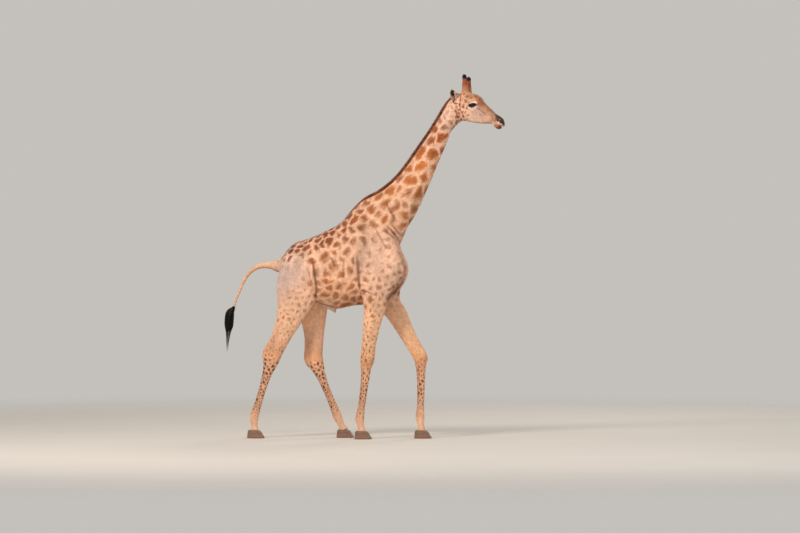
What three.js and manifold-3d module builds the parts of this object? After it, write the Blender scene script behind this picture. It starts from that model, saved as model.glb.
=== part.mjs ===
// A life-size young bull giraffe, walking, as a still museum model.
//
// Millimetres. +X is the way it walks, +Y its left side, +Z up, and z = 0 is the floor that its hooves
// stand on. The flesh is a set of lofts, each drawn through a few stations of the body. They are joined
// into one solid, which thin cuts then part where head, neck, trunk and legs meet, and at the knees and
// hocks. The eyes lie in sockets; ears, horns, mane and tail rise from the skin with a small gap; the
// hooves are two claws to each foot.

import * as THREE from "three";
import { LoftGeometry } from "three/addons/geometries/LoftGeometry.js";
import { mergeVertices } from "three/addons/utils/BufferGeometryUtils.js";
import Module from "manifold-3d";

const wasm = await Module();
wasm.setup();

// ---- driving sizes ------------------------------------------------------------------------------

const GAP = 0.4; // clearance between touching pieces
const CUT = 0.8; // width of the cuts that part the flesh
const TRIM = 1.2; // how far clear of the skin ears, horns, mane and tail begin

const FOOT_Y = 150; // from the body's middle plane to the cleft of each hoof
const HOOF = { height: 95, length: 200, width: 84, cleft: 7, forward: 18 }; // width is that of one claw
const PASTERN_END = 88; // height at which the foot's bone ends, inside the top of the hoof

const EYE_RADIUS = 33;
const EYE = { x: 248, y: 97, z: 3907 }; // the left eyeball's middle, before the head is turned

const HEAD_YAW = THREE.MathUtils.degToRad(-12); // the head looks a little to its right
const HEAD_ROLL = THREE.MathUtils.degToRad(-11); // and leans over to its left
const HEAD_PIVOT = new THREE.Vector3(1322, 0, 3900); // the poll, which the head turns about

const COAT = { color: 0xd9ac7c, roughness: 0.85, metalness: 0 };
const TUFT_HAIR = { color: 0x2a1c14, roughness: 0.8, metalness: 0 };
const MANE_HAIR = { color: 0x9a4f28, roughness: 0.85, metalness: 0 };
const HORNY = { color: 0x8a7460, roughness: 0.6, metalness: 0 };
const EYEBALL = { color: 0x120c09, roughness: 0.15, metalness: 0 };

const v3 = (x, y, z) => new THREE.Vector3(x, y, z);

// ---- lofts and solids ---------------------------------------------------------------------------

// One cross-section, an oval between a crest and a keel point. `half` is its half width, `low` moves
// the widest place towards the keel, and `full` above 1 squares the oval off. `grow` swells it all
// round.
function oval({ crest, keel, half, low, full }, sides, grow) {
  const middle = crest.clone().add(keel).multiplyScalar(0.5);
  const up = crest.clone().sub(keel).multiplyScalar(0.5);
  up.setLength(up.length() + grow);
  const squared = (s) => Math.sign(s) * Math.abs(s) ** (1 / full);
  return Array.from({ length: sides }, (_, i) => {
    const turn = (2 * Math.PI * i) / sides;
    const rise = squared(Math.cos(turn));
    const wide = squared(Math.sin(turn)) * (1 - low * rise) * (half + grow);
    return middle.clone().addScaledVector(up, rise).add(v3(0, wide, 0));
  });
}

const centreOf = (ring) => ring.reduce((sum, p) => sum.add(p), v3(0, 0, 0)).divideScalar(ring.length);

// A closed loft over rings that may run either way round: they are turned so that its faces point
// outwards.
function capped(rings) {
  const [first, second] = rings;
  const normal = first.reduce((sum, p, i) => sum.add(p.clone().cross(first[(i + 1) % first.length])), v3(0, 0, 0));
  const onwards = centreOf(second).sub(centreOf(first));
  const turned = normal.dot(onwards) < 0 ? rings.map((ring) => ring.toReversed()) : rings;
  return new LoftGeometry(turned, { capStart: true, capEnd: true });
}

// A smooth skin through stations of crest, keel and half width, with about `spans` rings from each to
// the next.
function loft(stations, { sides, spans, grow = 0 }) {
  const smooth = (pick) => new THREE.CatmullRomCurve3(stations.map(pick));
  const crest = smooth((s) => s.crest);
  const keel = smooth((s) => s.keel);
  const girth = smooth((s) => v3(s.half, 100 * (s.low ?? 0), 100 * (s.full ?? 1)));
  const count = Math.round((stations.length - 1) * spans);
  const rings = Array.from({ length: count + 1 }, (_, i) => {
    const t = i / count;
    const { x: half, y, z } = girth.getPoint(t);
    const shape = { crest: crest.getPoint(t), keel: keel.getPoint(t), half, low: y / 100, full: z / 100 };
    return oval(shape, sides, grow);
  });
  for (const [end, next] of [rings.slice(0, 2), rings.slice(-2).reverse()]) {
    const outwards = centreOf(end).sub(centreOf(next)).setLength(grow);
    end.forEach((point) => point.add(outwards));
  }
  return capped(rings);
}

// A geometry as a solid that can be cut and joined.
function solid(geometry) {
  const bare = new THREE.BufferGeometry().setAttribute("position", geometry.getAttribute("position"));
  bare.setIndex(geometry.index);
  const merged = mergeVertices(bare, 1e-2);
  const made = new wasm.Manifold(
    new wasm.Mesh({
      numProp: 3,
      vertProperties: new Float32Array(merged.attributes.position.array),
      triVerts: new Uint32Array(merged.index.array),
    }),
  );
  if (made.volume() <= 0) throw new Error("a shape is inside out");
  return made;
}

const joined = (solids) => solids.reduce((all, one) => all.add(one));
const cutBy = (from, tools) => tools.reduce((left, tool) => left.subtract(tool), from);

// ---- trunk, neck and sheath ---------------------------------------------------------------------

// A station on the middle plane: crest and keel are [x, z] on its upper and lower outline.
const station = (crest, keel, half, low = 0, full = 1) => ({
  crest: v3(crest[0], 0, crest[1]),
  keel: v3(keel[0], 0, keel[1]),
  half,
  low,
  full,
});

const TRUNK = [
  station([-778, 2090], [-786, 1985], 42), // under the tail
  station([-716, 2190], [-756, 1850], 150), // rump
  station([-608, 2300], [-628, 1745], 212, 0.06, 1.08), // hips
  station([-420, 2362], [-440, 1645], 232, 0.12, 1.1), // loin and flank
  station([-235, 2444], [-250, 1568], 262, 0.18, 1.06),
  station([-70, 2530], [-85, 1532], 280, 0.22, 1.04), // barrel
  station([70, 2668], [90, 1566], 272, 0.26), // girth
  station([235, 2800], [310, 1588], 250, 0.24), // withers and elbows
  station([430, 2700], [530, 1640], 226, 0.14),
  station([590, 2480], [672, 1775], 196, 0.1), // breast
  station([658, 2260], [748, 1912], 140),
  station([732, 2106], [768, 1996], 84), // point of the breast
];

const NECK = [
  station([90, 2640], [420, 2060], 150), // root, deep between the shoulders
  station([255, 2822], [650, 2270], 176, 0.05),
  station([410, 2902], [748, 2480], 156, 0.1),
  station([543, 3000], [856, 2655], 132, 0.1),
  station([663, 3118], [948, 2850], 117, 0.1),
  station([784, 3276], [1046, 3070], 106, 0.08),
  station([904, 3447], [1124, 3262], 99, 0.06),
  station([1025, 3619], [1206, 3448], 93, 0.05),
  station([1146, 3812], [1278, 3628], 89),
  station([1238, 3970], [1348, 3704], 84), // behind the jaw
  station([1300, 4030], [1412, 3756], 62), // throat, inside the head
];

// The fold of skin that hangs under the rear of the belly.
const SHEATH = [
  station([-360, 1680], [-350, 1604], 20),
  station([-250, 1640], [-240, 1546], 26),
  station([-160, 1610], [-146, 1498], 27),
  station([-124, 1580], [-118, 1476], 22),
  station([-104, 1550], [-98, 1490], 12),
];

const trunkOf = (grow) => solid(loft(TRUNK, { sides: 18, spans: 1.5, grow }));
const neckOf = (grow) => solid(loft(NECK, { sides: 16, spans: 1.5, grow }));
const sheath = solid(loft(SHEATH, { sides: 10, spans: 1 }));

// ---- head ---------------------------------------------------------------------------------------

// The head is drawn looking straight ahead, with x counted from the poll, and is then turned and leant
// over.
const HEAD_PLACE = new THREE.Matrix4()
  .makeTranslation(HEAD_PIVOT)
  .multiply(new THREE.Matrix4().makeRotationZ(HEAD_YAW))
  .multiply(new THREE.Matrix4().makeRotationX(HEAD_ROLL))
  .multiply(new THREE.Matrix4().makeTranslation(0, 0, -HEAD_PIVOT.z));
const onHead = (geometry) => geometry.applyMatrix4(HEAD_PLACE);

const SKULL = [
  station([-42, 3985], [-8, 3842], 52),
  station([10, 4064], [34, 3760], 84, 0.02), // poll and throat
  station([80, 4082], [90, 3744], 104, -0.02), // cheek
  station([160, 4080], [160, 3734], 112, -0.08, 1.05),
  station([238, 4068], [216, 3722], 117, -0.2, 1.08), // eyes
  station([308, 4038], [280, 3712], 104, -0.22, 1.08), // brow
  station([356, 3978], [345, 3706], 82, -0.12, 1.06),
  station([408, 3926], [408, 3704], 68, -0.02, 1.05), // bridge of the nose
  station([462, 3880], [464, 3704], 61, 0, 1.05),
  station([520, 3830], [512, 3696], 60, 0, 1.1), // nostrils
  station([576, 3798], [552, 3684], 57, 0, 1.14),
  station([614, 3764], [590, 3678], 48, 0, 1.12), // upper lip
  station([638, 3698], [620, 3664], 25),
];

const CHIN = [
  station([470, 3754], [482, 3706], 26),
  station([500, 3740], [504, 3676], 40, 0, 1.1),
  station([542, 3716], [538, 3645], 45, 0, 1.15),
  station([578, 3692], [570, 3640], 41, 0, 1.1), // lower lip
  station([603, 3672], [594, 3650], 23),
];

const skullOf = (grow) => solid(onHead(loft(SKULL, { sides: 18, spans: 2, grow })));
const chin = solid(onHead(loft(CHIN, { sides: 12, spans: 1 })));

const eyeOf = (side, grow) =>
  solid(onHead(new THREE.SphereGeometry(EYE_RADIUS + grow, 12, 8).translate(EYE.x, side * EYE.y, EYE.z)));

// A horn of bone under skin: a broad root, a narrower stem and a knob.
const HORN = { x: 139, y: 52, z: 3990, back: 0.1, out: 0.08, sides: 10 }; // left root, and its leans in radians
const HORN_PROFILE = [
  // radius, height
  [0, 0],
  [55, 0],
  [53, 30],
  [48, 72],
  [42, 102],
  [36, 130],
  [31, 165],
  [28, 200],
  [27, 232],
  [28, 262],
  [26, 284],
  [13, 298],
  [0, 302],
];

function hornOf(side) {
  const profile = HORN_PROFILE.map(([radius, height]) => new THREE.Vector2(radius, height));
  const horn = new THREE.LatheGeometry(profile, HORN.sides);
  horn.rotateX(Math.PI / 2 - side * HORN.out);
  horn.rotateY(-HORN.back);
  return solid(onHead(horn.translate(HORN.x, side * HORN.y, HORN.z)));
}

// An ear is a cupped leaf, whose open side looks along `front`.
const EAR = { width: 43, cup: 24, wall: 9, steps: 7, arc: 5 };
const EARS = {
  left: { root: v3(36, 78, 3990), tip: v3(-14, 226, 4094), front: v3(0.85, -0.1, 0.5) },
  right: { root: v3(15, -78, 3974), tip: v3(3, -190, 4087), front: v3(0.62, -0.6, -0.5) },
};

// The leaf's outline along its length, 0 to 1: narrow at the root, widest past the middle, rounded to a
// tip.
function leaf(t) {
  const breadth = 0.42 + 0.58 * Math.sin(Math.PI * Math.min(1, 0.2 + 0.62 * t));
  const tip = Math.sqrt(Math.max(0.012, 1 - t ** 3.2));
  return { breadth: breadth * tip, tip };
}

// Each ring is a crescent: half an oval round the back, and a smaller half oval back through the
// hollow.
function earOf({ root, tip, front }) {
  const axis = tip.clone().sub(root);
  const across = axis.clone().cross(front).normalize();
  const open = across.clone().cross(axis).normalize();
  const rings = Array.from({ length: EAR.steps + 1 }, (_, i) => {
    const t = i / EAR.steps;
    const shape = leaf(t);
    const cup = EAR.cup * shape.breadth;
    const wall = EAR.wall * (1 - 0.45 * t) * Math.max(0.5, shape.tip);
    const point = (turn, depth) =>
      root
        .clone()
        .addScaledVector(axis, t)
        .addScaledVector(across, EAR.width * shape.breadth * Math.sin(turn))
        .addScaledVector(open, cup / 2 - depth * Math.cos(turn));
    const back = Array.from({ length: EAR.arc + 1 }, (_, j) => point((j / EAR.arc - 0.5) * Math.PI, cup + wall));
    const hollow = Array.from({ length: EAR.arc - 1 }, (_, j) => point((0.5 - (j + 1) / EAR.arc) * Math.PI, cup));
    return [...back, ...hollow];
  });
  return solid(onHead(capped(rings)));
}

// ---- legs ---------------------------------------------------------------------------------------

// Each leg's joints, [x, y, z] from the body down to the foot, which set the stride: inside the body,
// elbow or stifle, knee or hock, fetlock, and the end of the pastern.
const JOINTS = {
  foreleg_right: [
    [433, -160, 2089],
    [385, -178, 1640],
    [302, -166, 932],
    [208, -FOOT_Y, 236],
    [228, -FOOT_Y, PASTERN_END],
  ],
  foreleg_left: [
    [440, 160, 2089],
    [500, 178, 1600],
    [888, 166, 950],
    [878, FOOT_Y, 246],
    [890, FOOT_Y, PASTERN_END],
  ],
  hindleg_right: [
    [-548, -112, 2089],
    [-556, -140, 1640],
    [-854, -150, 950],
    [-1060, -FOOT_Y, 254],
    [-1062, -FOOT_Y, PASTERN_END],
  ],
  hindleg_left: [
    [-520, 112, 2089],
    [-424, 140, 1640],
    [-396, 150, 908],
    [-114, FOOT_Y, 250],
    [-44, FOOT_Y, PASTERN_END],
  ],
};

// How thick a leg is: place along its joints, reach to the front, reach to the rear, half width. Place
// 1 is the second joint, the elbow or stifle, and so on down.
const FORE_SHAPE = [
  [-0.22, 110, 70, 40],
  [0.0, 225, 150, 84],
  [0.35, 255, 182, 104],
  [0.7, 238, 166, 104],
  [1.0, 172, 138, 92],
  [1.25, 134, 112, 78],
  [1.5, 101, 101, 68],
  [1.75, 84, 94, 61],
  [1.92, 84, 90, 62],
  [2.02, 82, 84, 64],
  [2.12, 62, 76, 56],
  [2.24, 56, 60, 45],
  [2.55, 50, 49, 39],
  [2.82, 46, 48, 39],
  [2.98, 54, 60, 49],
  [3.2, 50, 58, 48],
  [3.6, 44, 44, 44],
  [4.05, 62, 54, 62],
];
const HIND_SHAPE = [
  [-0.3, 90, 80, 40],
  [0.0, 178, 172, 84],
  [0.4, 228, 232, 108],
  [0.75, 244, 250, 116],
  [1.0, 214, 246, 112],
  [1.2, 182, 186, 100],
  [1.4, 156, 140, 85],
  [1.6, 130, 115, 71],
  [1.8, 113, 118, 60],
  [1.93, 106, 130, 56],
  [2.02, 106, 116, 56],
  [2.12, 90, 84, 53],
  [2.24, 68, 62, 45],
  [2.45, 51, 50, 38],
  [2.75, 47, 48, 38],
  [2.97, 54, 60, 49],
  [3.2, 50, 58, 48],
  [3.6, 44, 44, 44],
  [4.05, 62, 54, 62],
];

// The shoulder of the foreleg that has swung ahead reaches this much less far in front of its bone.
const SHOULDER_DRAWN = { foreleg_left: 80 };

// The point at a place along a leg's joints, straight from each to the next and on past both ends.
function along(joints, place) {
  const from = THREE.MathUtils.clamp(Math.floor(place), 0, joints.length - 2);
  return v3(...joints[from]).lerp(v3(...joints[from + 1]), place - from);
}

// A leg's rings stand square to the bone, and near a joint to the mean of both bones.
function legOf(name) {
  const joints = JOINTS[name];
  const reach = 0.14;
  const stations = (name.startsWith("fore") ? FORE_SHAPE : HIND_SHAPE).map(([place, ahead, behind, half]) => {
    const shoulder = THREE.MathUtils.clamp(4 * (1.1 - place), 0, 1);
    const down = along(joints, place + reach).sub(along(joints, place - reach)).setY(0).normalize();
    const forward = v3(-down.z, 0, down.x);
    const middle = along(joints, place);
    return {
      crest: middle.clone().addScaledVector(forward, ahead - shoulder * (SHOULDER_DRAWN[name] ?? 0)),
      keel: middle.clone().addScaledVector(forward, -behind),
      half,
    };
  });
  return solid(loft(stations, { sides: 12, spans: 1 }));
}

// One claw of a hoof: a wall that leans in from a flat sole, round outside and nearly straight along
// the cleft.
const CLAW_LEVELS = [
  // share of the height, of the length and of the width, and how far back its middle lies
  [0, 0.96, 0.94, 0],
  [0.14, 1, 1, 0],
  [0.7, 0.8, 0.92, 14],
  [1, 0.64, 0.76, 23],
];

function clawOf([x, y], outwards) {
  const steps = 7;
  const roundness = 0.62;
  const hollow = 1.5;
  const rings = CLAW_LEVELS.map(([height, long, wide, back]) => {
    const halfLength = (HOOF.length * long) / 2;
    const wall = Array.from({ length: steps + 1 }, (_, i) => {
      const turn = (Math.PI * i) / steps;
      return [Math.cos(turn) * halfLength, Math.abs(Math.sin(turn)) ** roundness * HOOF.width * wide];
    });
    const cleft = [-0.5, 0, 0.5].map((share) => [share * halfLength, share === 0 ? -hollow : 0]);
    return [...wall, ...cleft].map(([u, v]) =>
      v3(x + HOOF.forward - back + u, y + outwards * (v + HOOF.cleft / 2), height * (HOOF.height - GAP)),
    );
  });
  return solid(capped(rings));
}

// ---- tail and mane ------------------------------------------------------------------------------

// The tail swings up and back as the animal walks: [x, z, half depth, half width] along its middle.
const TAIL = [
  [-690, 2058, 98, 54],
  [-800, 2032, 74, 44],
  [-890, 2040, 44, 32],
  [-985, 2040, 33, 27],
  [-1080, 2010, 28, 24],
  [-1165, 1940, 24, 22],
  [-1222, 1846, 20, 19],
  [-1276, 1722, 17, 16],
  [-1322, 1600, 15, 15],
  [-1340, 1535, 14, 14],
];
const TAIL_TUFT = [
  [-1344, 1530, 16, 16],
  [-1382, 1478, 48, 42],
  [-1396, 1400, 54, 47],
  [-1402, 1320, 51, 43],
  [-1408, 1255, 32, 26],
  [-1418, 1140, 14, 12],
  [-1424, 1020, 7, 6],
];

// A limb along such points, its rings square to its own run.
function limbOf(points, { sides, spans, grow = 0 }) {
  const stations = points.map(([x, z, deep, half], i) => {
    const before = points[Math.max(0, i - 1)];
    const after = points[Math.min(points.length - 1, i + 1)];
    const run = v3(after[0] - before[0], 0, after[1] - before[1]).normalize();
    const out = v3(run.z, 0, -run.x);
    const middle = v3(x, 0, z);
    return {
      crest: middle.clone().addScaledVector(out, deep),
      keel: middle.clone().addScaledVector(out, -deep),
      half,
    };
  });
  return solid(loft(stations, { sides, spans, grow }));
}
const tailOf = (grow) => limbOf(TAIL, { sides: 8, spans: 1.5, grow });
const tuftOf = () => limbOf(TAIL_TUFT, { sides: 8, spans: 2 });

// The mane is a low upright comb of hair, from between the ears down to the withers. Its roots run
// along [x, z].
const MANE = { height: 46, half: 13, sunk: 26, sides: 6, steps: 15 };
const MANE_ROOTS = [
  [1346, 4066],
  [1300, 4030],
  ...NECK.slice(1, -1)
    .map(({ crest }) => [crest.x, crest.z])
    .reverse(),
  [150, 2740],
  [60, 2654],
  [0, 2590],
];

function maneOf() {
  const line = new THREE.CatmullRomCurve3(MANE_ROOTS.map(([x, z]) => v3(x, 0, z)));
  const stations = Array.from({ length: MANE.steps + 1 }, (_, i) => {
    const t = i / MANE.steps;
    const run = line.getTangentAt(t);
    const out = v3(run.z, 0, -run.x);
    const swell = Math.min(1, 0.35 + 4 * t, 0.2 + 4 * (1 - t));
    const root = line.getPointAt(t);
    return {
      crest: root.clone().addScaledVector(out, MANE.height * swell),
      keel: root.clone().addScaledVector(out, -MANE.sunk),
      half: MANE.half,
      low: 0.3,
    };
  });
  return solid(loft(stations, { sides: MANE.sides, spans: 1 }));
}

// ---- parting cuts -------------------------------------------------------------------------------

// A thin round blade, centred at a point and square to `normal`.
function blade(centre, normal, radius) {
  const disc = new THREE.CylinderGeometry(radius, radius, CUT, 24);
  const turn = new THREE.Quaternion().setFromUnitVectors(v3(0, 1, 0), normal.clone().normalize());
  return solid(disc.applyQuaternion(turn).translate(centre.x, centre.y, centre.z));
}

// Where a leg is cut from the trunk and at its knee or hock, as places along its joints. `tilt` leans
// the upper cut.
const FORE_CUTS = { body: 1.12, tilt: 0.12, reach: 200, joint: 2.02 };
const HIND_CUTS = { body: 1.06, tilt: 0.42, reach: 290, joint: 2.04 };
const KNEE_REACH = 170;

function bladesOf(name) {
  const joints = JOINTS[name];
  const cuts = name.startsWith("fore") ? FORE_CUTS : HIND_CUTS;
  const side = name.endsWith("left") ? 1 : -1;
  const bone = along(joints, cuts.joint - 0.3).sub(along(joints, cuts.joint + 0.3));
  return [
    blade(along(joints, cuts.body), v3(0, -side * cuts.tilt, 1), cuts.reach),
    blade(along(joints, cuts.joint), bone, KNEE_REACH),
  ];
}

const blades = [
  blade(v3(1316, 0, 3872), v3(0.72, 0, 0.42), 215), // head from neck
  blade(v3(492, 0, 2560), v3(0.83, 0, 0.52), 560), // neck from trunk
  ...Object.keys(JOINTS).flatMap(bladesOf),
];
const floorSlab = new THREE.BoxGeometry(4000, 1200, 400).translate(0, 0, HOOF.height - 200);

const whole = joined([trunkOf(0), neckOf(0), skullOf(0), chin, sheath, ...Object.keys(JOINTS).map(legOf)]);
const parted = cutBy(whole, [...blades, solid(floorSlab), eyeOf(1, GAP), eyeOf(-1, GAP)]);
const skin = joined([skullOf(TRIM), neckOf(TRIM), trunkOf(TRIM)]);

// ---- nodes --------------------------------------------------------------------------------------

// A point near the middle of each piece of flesh, which names it.
const FLESH = {
  head: v3(1520, -40, 3900),
  neck: v3(900, 0, 3150),
  trunk: v3(0, 0, 2100),
};
for (const [name, joints] of Object.entries(JOINTS)) {
  FLESH[`${name}_upper`] = along(joints, 1.5);
  FLESH[`${name}_lower`] = along(joints, 2.6);
}

// The thin cuts leave no slivers: every piece but the flesh is smaller than this, in cubic millimetres.
const CRUMB = 1000;
const pieces = parted.decompose().filter((piece) => piece.volume() > CRUMB);
if (pieces.length !== Object.keys(FLESH).length) throw new Error(`the cuts leave ${pieces.length} pieces`);

const middleOf = (piece) => {
  const { min, max } = piece.boundingBox();
  return v3(...min).lerp(v3(...max), 0.5);
};
const nearest = (point) =>
  pieces.reduce((best, one) => (middleOf(one).distanceTo(point) < middleOf(best).distanceTo(point) ? one : best));

const giraffe = new THREE.Group();

function addMesh(name, made, material) {
  const { vertProperties, triVerts, numProp, numVert } = made.getMesh();
  const places = new Float32Array(numVert * 3);
  for (let i = 0; i < numVert; i++) places.set(vertProperties.subarray(i * numProp, i * numProp + 3), i * 3);
  const geometry = new THREE.BufferGeometry()
    .setAttribute("position", new THREE.BufferAttribute(places, 3))
    .setIndex(new THREE.BufferAttribute(triVerts, 1));
  geometry.computeVertexNormals();
  const mesh = new THREE.Mesh(geometry, new THREE.MeshStandardMaterial(material));
  mesh.name = name;
  giraffe.add(mesh);
}

for (const [name, middle] of Object.entries(FLESH)) addMesh(name, nearest(middle), COAT);
addMesh("tail", tailOf(0).subtract(skin), COAT);
addMesh("tail_tuft", tuftOf().subtract(tailOf(GAP)), TUFT_HAIR);
addMesh("mane", maneOf().subtract(skin), MANE_HAIR);

for (const [side, sign] of Object.entries({ left: 1, right: -1 })) {
  addMesh(`eye_${side}`, eyeOf(sign, 0), EYEBALL);
  addMesh(`ear_${side}`, earOf(EARS[side]).subtract(skin), COAT);
  addMesh(`ossicone_${side}`, hornOf(sign).subtract(skin), COAT);
  for (const foot of ["fore", "hind"]) {
    const pastern = JOINTS[`${foot}leg_${side}`].at(-1);
    addMesh(`hoof_${foot}_${side}_outer`, clawOf(pastern, sign), HORNY);
    addMesh(`hoof_${foot}_${side}_inner`, clawOf(pastern, -sign), HORNY);
  }
}

// The origin is under the middle of the whole, on the floor.
const extent = new THREE.Box3().setFromObject(giraffe);
giraffe.position.x = -(extent.min.x + extent.max.x) / 2;

export default giraffe;
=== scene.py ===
# A life-size young giraffe bull, walking, as a museum model: hide, coat, head, horns, mane, tail and
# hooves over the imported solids. Metres, in the solids' own frame: +X is the way it walks, +Y its
# left, +Z up, floor at z = 0.

import bpy
import numpy as np
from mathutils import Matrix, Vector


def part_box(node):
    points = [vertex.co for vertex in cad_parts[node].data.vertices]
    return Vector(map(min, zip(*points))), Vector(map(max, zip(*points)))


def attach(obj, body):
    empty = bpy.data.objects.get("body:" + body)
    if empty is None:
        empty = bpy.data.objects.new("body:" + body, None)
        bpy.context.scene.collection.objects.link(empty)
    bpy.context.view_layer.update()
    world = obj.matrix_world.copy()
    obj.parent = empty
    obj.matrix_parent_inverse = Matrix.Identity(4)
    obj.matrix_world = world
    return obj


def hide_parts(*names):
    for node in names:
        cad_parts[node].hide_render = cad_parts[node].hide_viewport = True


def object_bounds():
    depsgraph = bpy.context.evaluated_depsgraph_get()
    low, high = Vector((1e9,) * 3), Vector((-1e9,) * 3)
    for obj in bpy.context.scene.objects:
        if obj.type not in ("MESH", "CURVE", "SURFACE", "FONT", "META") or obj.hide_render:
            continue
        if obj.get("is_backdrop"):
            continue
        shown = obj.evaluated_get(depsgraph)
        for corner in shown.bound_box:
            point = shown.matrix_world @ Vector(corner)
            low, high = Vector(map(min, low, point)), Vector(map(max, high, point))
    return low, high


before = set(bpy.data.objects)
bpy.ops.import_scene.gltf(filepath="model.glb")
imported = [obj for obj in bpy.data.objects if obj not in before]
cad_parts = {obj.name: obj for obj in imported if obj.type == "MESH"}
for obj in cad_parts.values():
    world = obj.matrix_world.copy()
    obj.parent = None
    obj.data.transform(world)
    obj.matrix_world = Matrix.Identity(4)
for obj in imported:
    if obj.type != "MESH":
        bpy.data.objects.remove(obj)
solid_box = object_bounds()


# ---- The body's form ----
# Flesh and bone under one hide: a trunk, a neck, four legs, a tail and a head, each an oval carried
# along its own line, grown softly into its neighbours. The sizes are those of the solids, in
# millimetres.

MM = 0.001
right_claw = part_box("hoof_fore_right_outer")
STRIDE = 0.246 - (right_claw[0][0] + right_claw[1][0]) / 2  # the tables count x from below the chest
STEPS = 4  # samples from each station of a mass to the next


def held(values):
    """Values cut off at 0 and 1."""
    return np.clip(values, 0, 1)


def unit(vectors):
    """Vectors over their own lengths."""
    return vectors / np.maximum(np.linalg.norm(vectors, axis=-1, keepdims=True), 1e-9)


def smooth_curve(points):
    """A centripetal Catmull-Rom curve through the rows of points: between two rows a cubic in the share
    s of the way, whose slope at a row weighs its two chords by the square roots of their lengths."""
    points = np.asarray(points, float)
    padded = np.vstack([2 * points[:1] - points[1:2], points, 2 * points[-1:] - points[-2:-1]])
    place = np.linspace(0, len(points) - 1, (len(points) - 1) * STEPS + 1)
    k = np.minimum(place.astype(int), len(points) - 2)
    s = (place - k)[:, None]
    a, b, c, d = padded[k], padded[k + 1], padded[k + 2], padded[k + 3]

    def root(p, q):
        return np.sqrt(np.maximum(np.linalg.norm(q - p, axis=1, keepdims=True), 1e-9))

    g0, g1, g2 = root(a, b), root(b, c), root(c, d)
    slope_b = ((b - a) / g0 - (c - a) / (g0 + g1) + (c - b) / g1) * g1
    slope_c = ((c - b) / g1 - (d - b) / (g1 + g2) + (d - c) / g2) * g1
    square = 3 * (c - b) - 2 * slope_b - slope_c
    return b + slope_b * s + square * s**2 + (2 * (b - c) + slope_b + slope_c) * s**3


def mass(crest, keel, half, low=0, full=1, soft=.03, dome=.012, lie=1, coat=.005, on_head=False):
    """One mass of the body: its upper and lower outline, half width, how far the widest place lies to
    the keel and how square the oval is, all along its length. `soft` is the width of the blend into
    what was there before, `dome` how far its ends are rounded out, and `lie` is -1 where the hair runs
    back along it."""
    count = len(half)
    crest, keel = smooth_curve(crest) * MM, smooth_curve(keel) * MM
    shape = np.c_[half, 100 * np.broadcast_to(low, count), 100 * np.broadcast_to(full, count)]
    girth = smooth_curve(shape)
    if not on_head:
        crest[:, 0] -= STRIDE
        keel[:, 0] -= STRIDE
    middle = (crest + keel) / 2
    length = np.r_[0, np.cumsum(np.linalg.norm(np.diff(middle, axis=0), axis=1))]
    corners = np.vstack([crest, keel])
    return {
        "middle": middle, "arm": (crest - keel) / 2, "half": girth[:, 0] * MM,
        "low": girth[:, 1] / 100, "full": girth[:, 2] / 100, "length": length, "soft": soft,
        "dome": dome, "lie": lie, "coat": coat, "on_head": on_head,
        "least": corners.min(0) - [0, girth[:, 0].max() * 1.3 * MM, 0],
        "most": corners.max(0) + [0, girth[:, 0].max() * 1.3 * MM, 0],
    }


def upright(rows, **more):
    """A mass on the middle plane from rows of crest x and z, keel x and z, half width, low and full."""
    rows = np.array([(*row, 0, 1)[:7] if len(row) == 5 else (*row, 1)[:7] for row in rows])
    zero = np.zeros(len(rows))
    crest = np.c_[rows[:, 0], zero, rows[:, 1]]
    keel = np.c_[rows[:, 2], zero, rows[:, 3]]
    return mass(crest, keel, rows[:, 4], rows[:, 5], rows[:, 6], **more)


TRUNK = upright([
    (-778, 2090, -786, 1985, 42),  # under the tail
    (-716, 2190, -756, 1850, 150),  # rump
    (-608, 2300, -628, 1745, 212, .06, 1.08),  # hips
    (-420, 2362, -440, 1645, 232, .12, 1.1),  # loin and flank
    (-235, 2444, -250, 1568, 262, .18, 1.06),
    (-70, 2530, -85, 1532, 280, .22, 1.04),  # barrel
    (70, 2668, 90, 1566, 272, .26),  # girth
    (235, 2800, 310, 1588, 250, .24),  # withers and elbows
    (430, 2700, 530, 1640, 226, .14),
    (590, 2480, 672, 1775, 196, .1),  # breast
    (658, 2260, 748, 1912, 140),
    (732, 2106, 768, 1996, 84),  # point of the breast
], dome=.05, lie=-1)

NECK = upright([
    (90, 2640, 420, 2060, 150),  # root, deep between the shoulders
    (255, 2822, 650, 2270, 176, .05),
    (410, 2902, 748, 2480, 156, .1),
    (543, 3000, 856, 2655, 132, .1),
    (663, 3118, 948, 2850, 117, .1),
    (784, 3276, 1046, 3070, 106, .08),
    (904, 3447, 1124, 3262, 99, .06),
    (1025, 3619, 1206, 3448, 93, .05),
    (1146, 3812, 1278, 3628, 89),
    (1238, 3970, 1348, 3704, 84),  # behind the jaw
    (1300, 4030, 1412, 3756, 62),  # throat, inside the head
], soft=.06, lie=-1)

SHEATH = upright([
    (-360, 1680, -350, 1604, 20),
    (-250, 1640, -240, 1546, 26),
    (-160, 1610, -146, 1498, 27),
    (-124, 1580, -118, 1476, 22),
    (-104, 1550, -98, 1490, 12),
], soft=.03)

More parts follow.
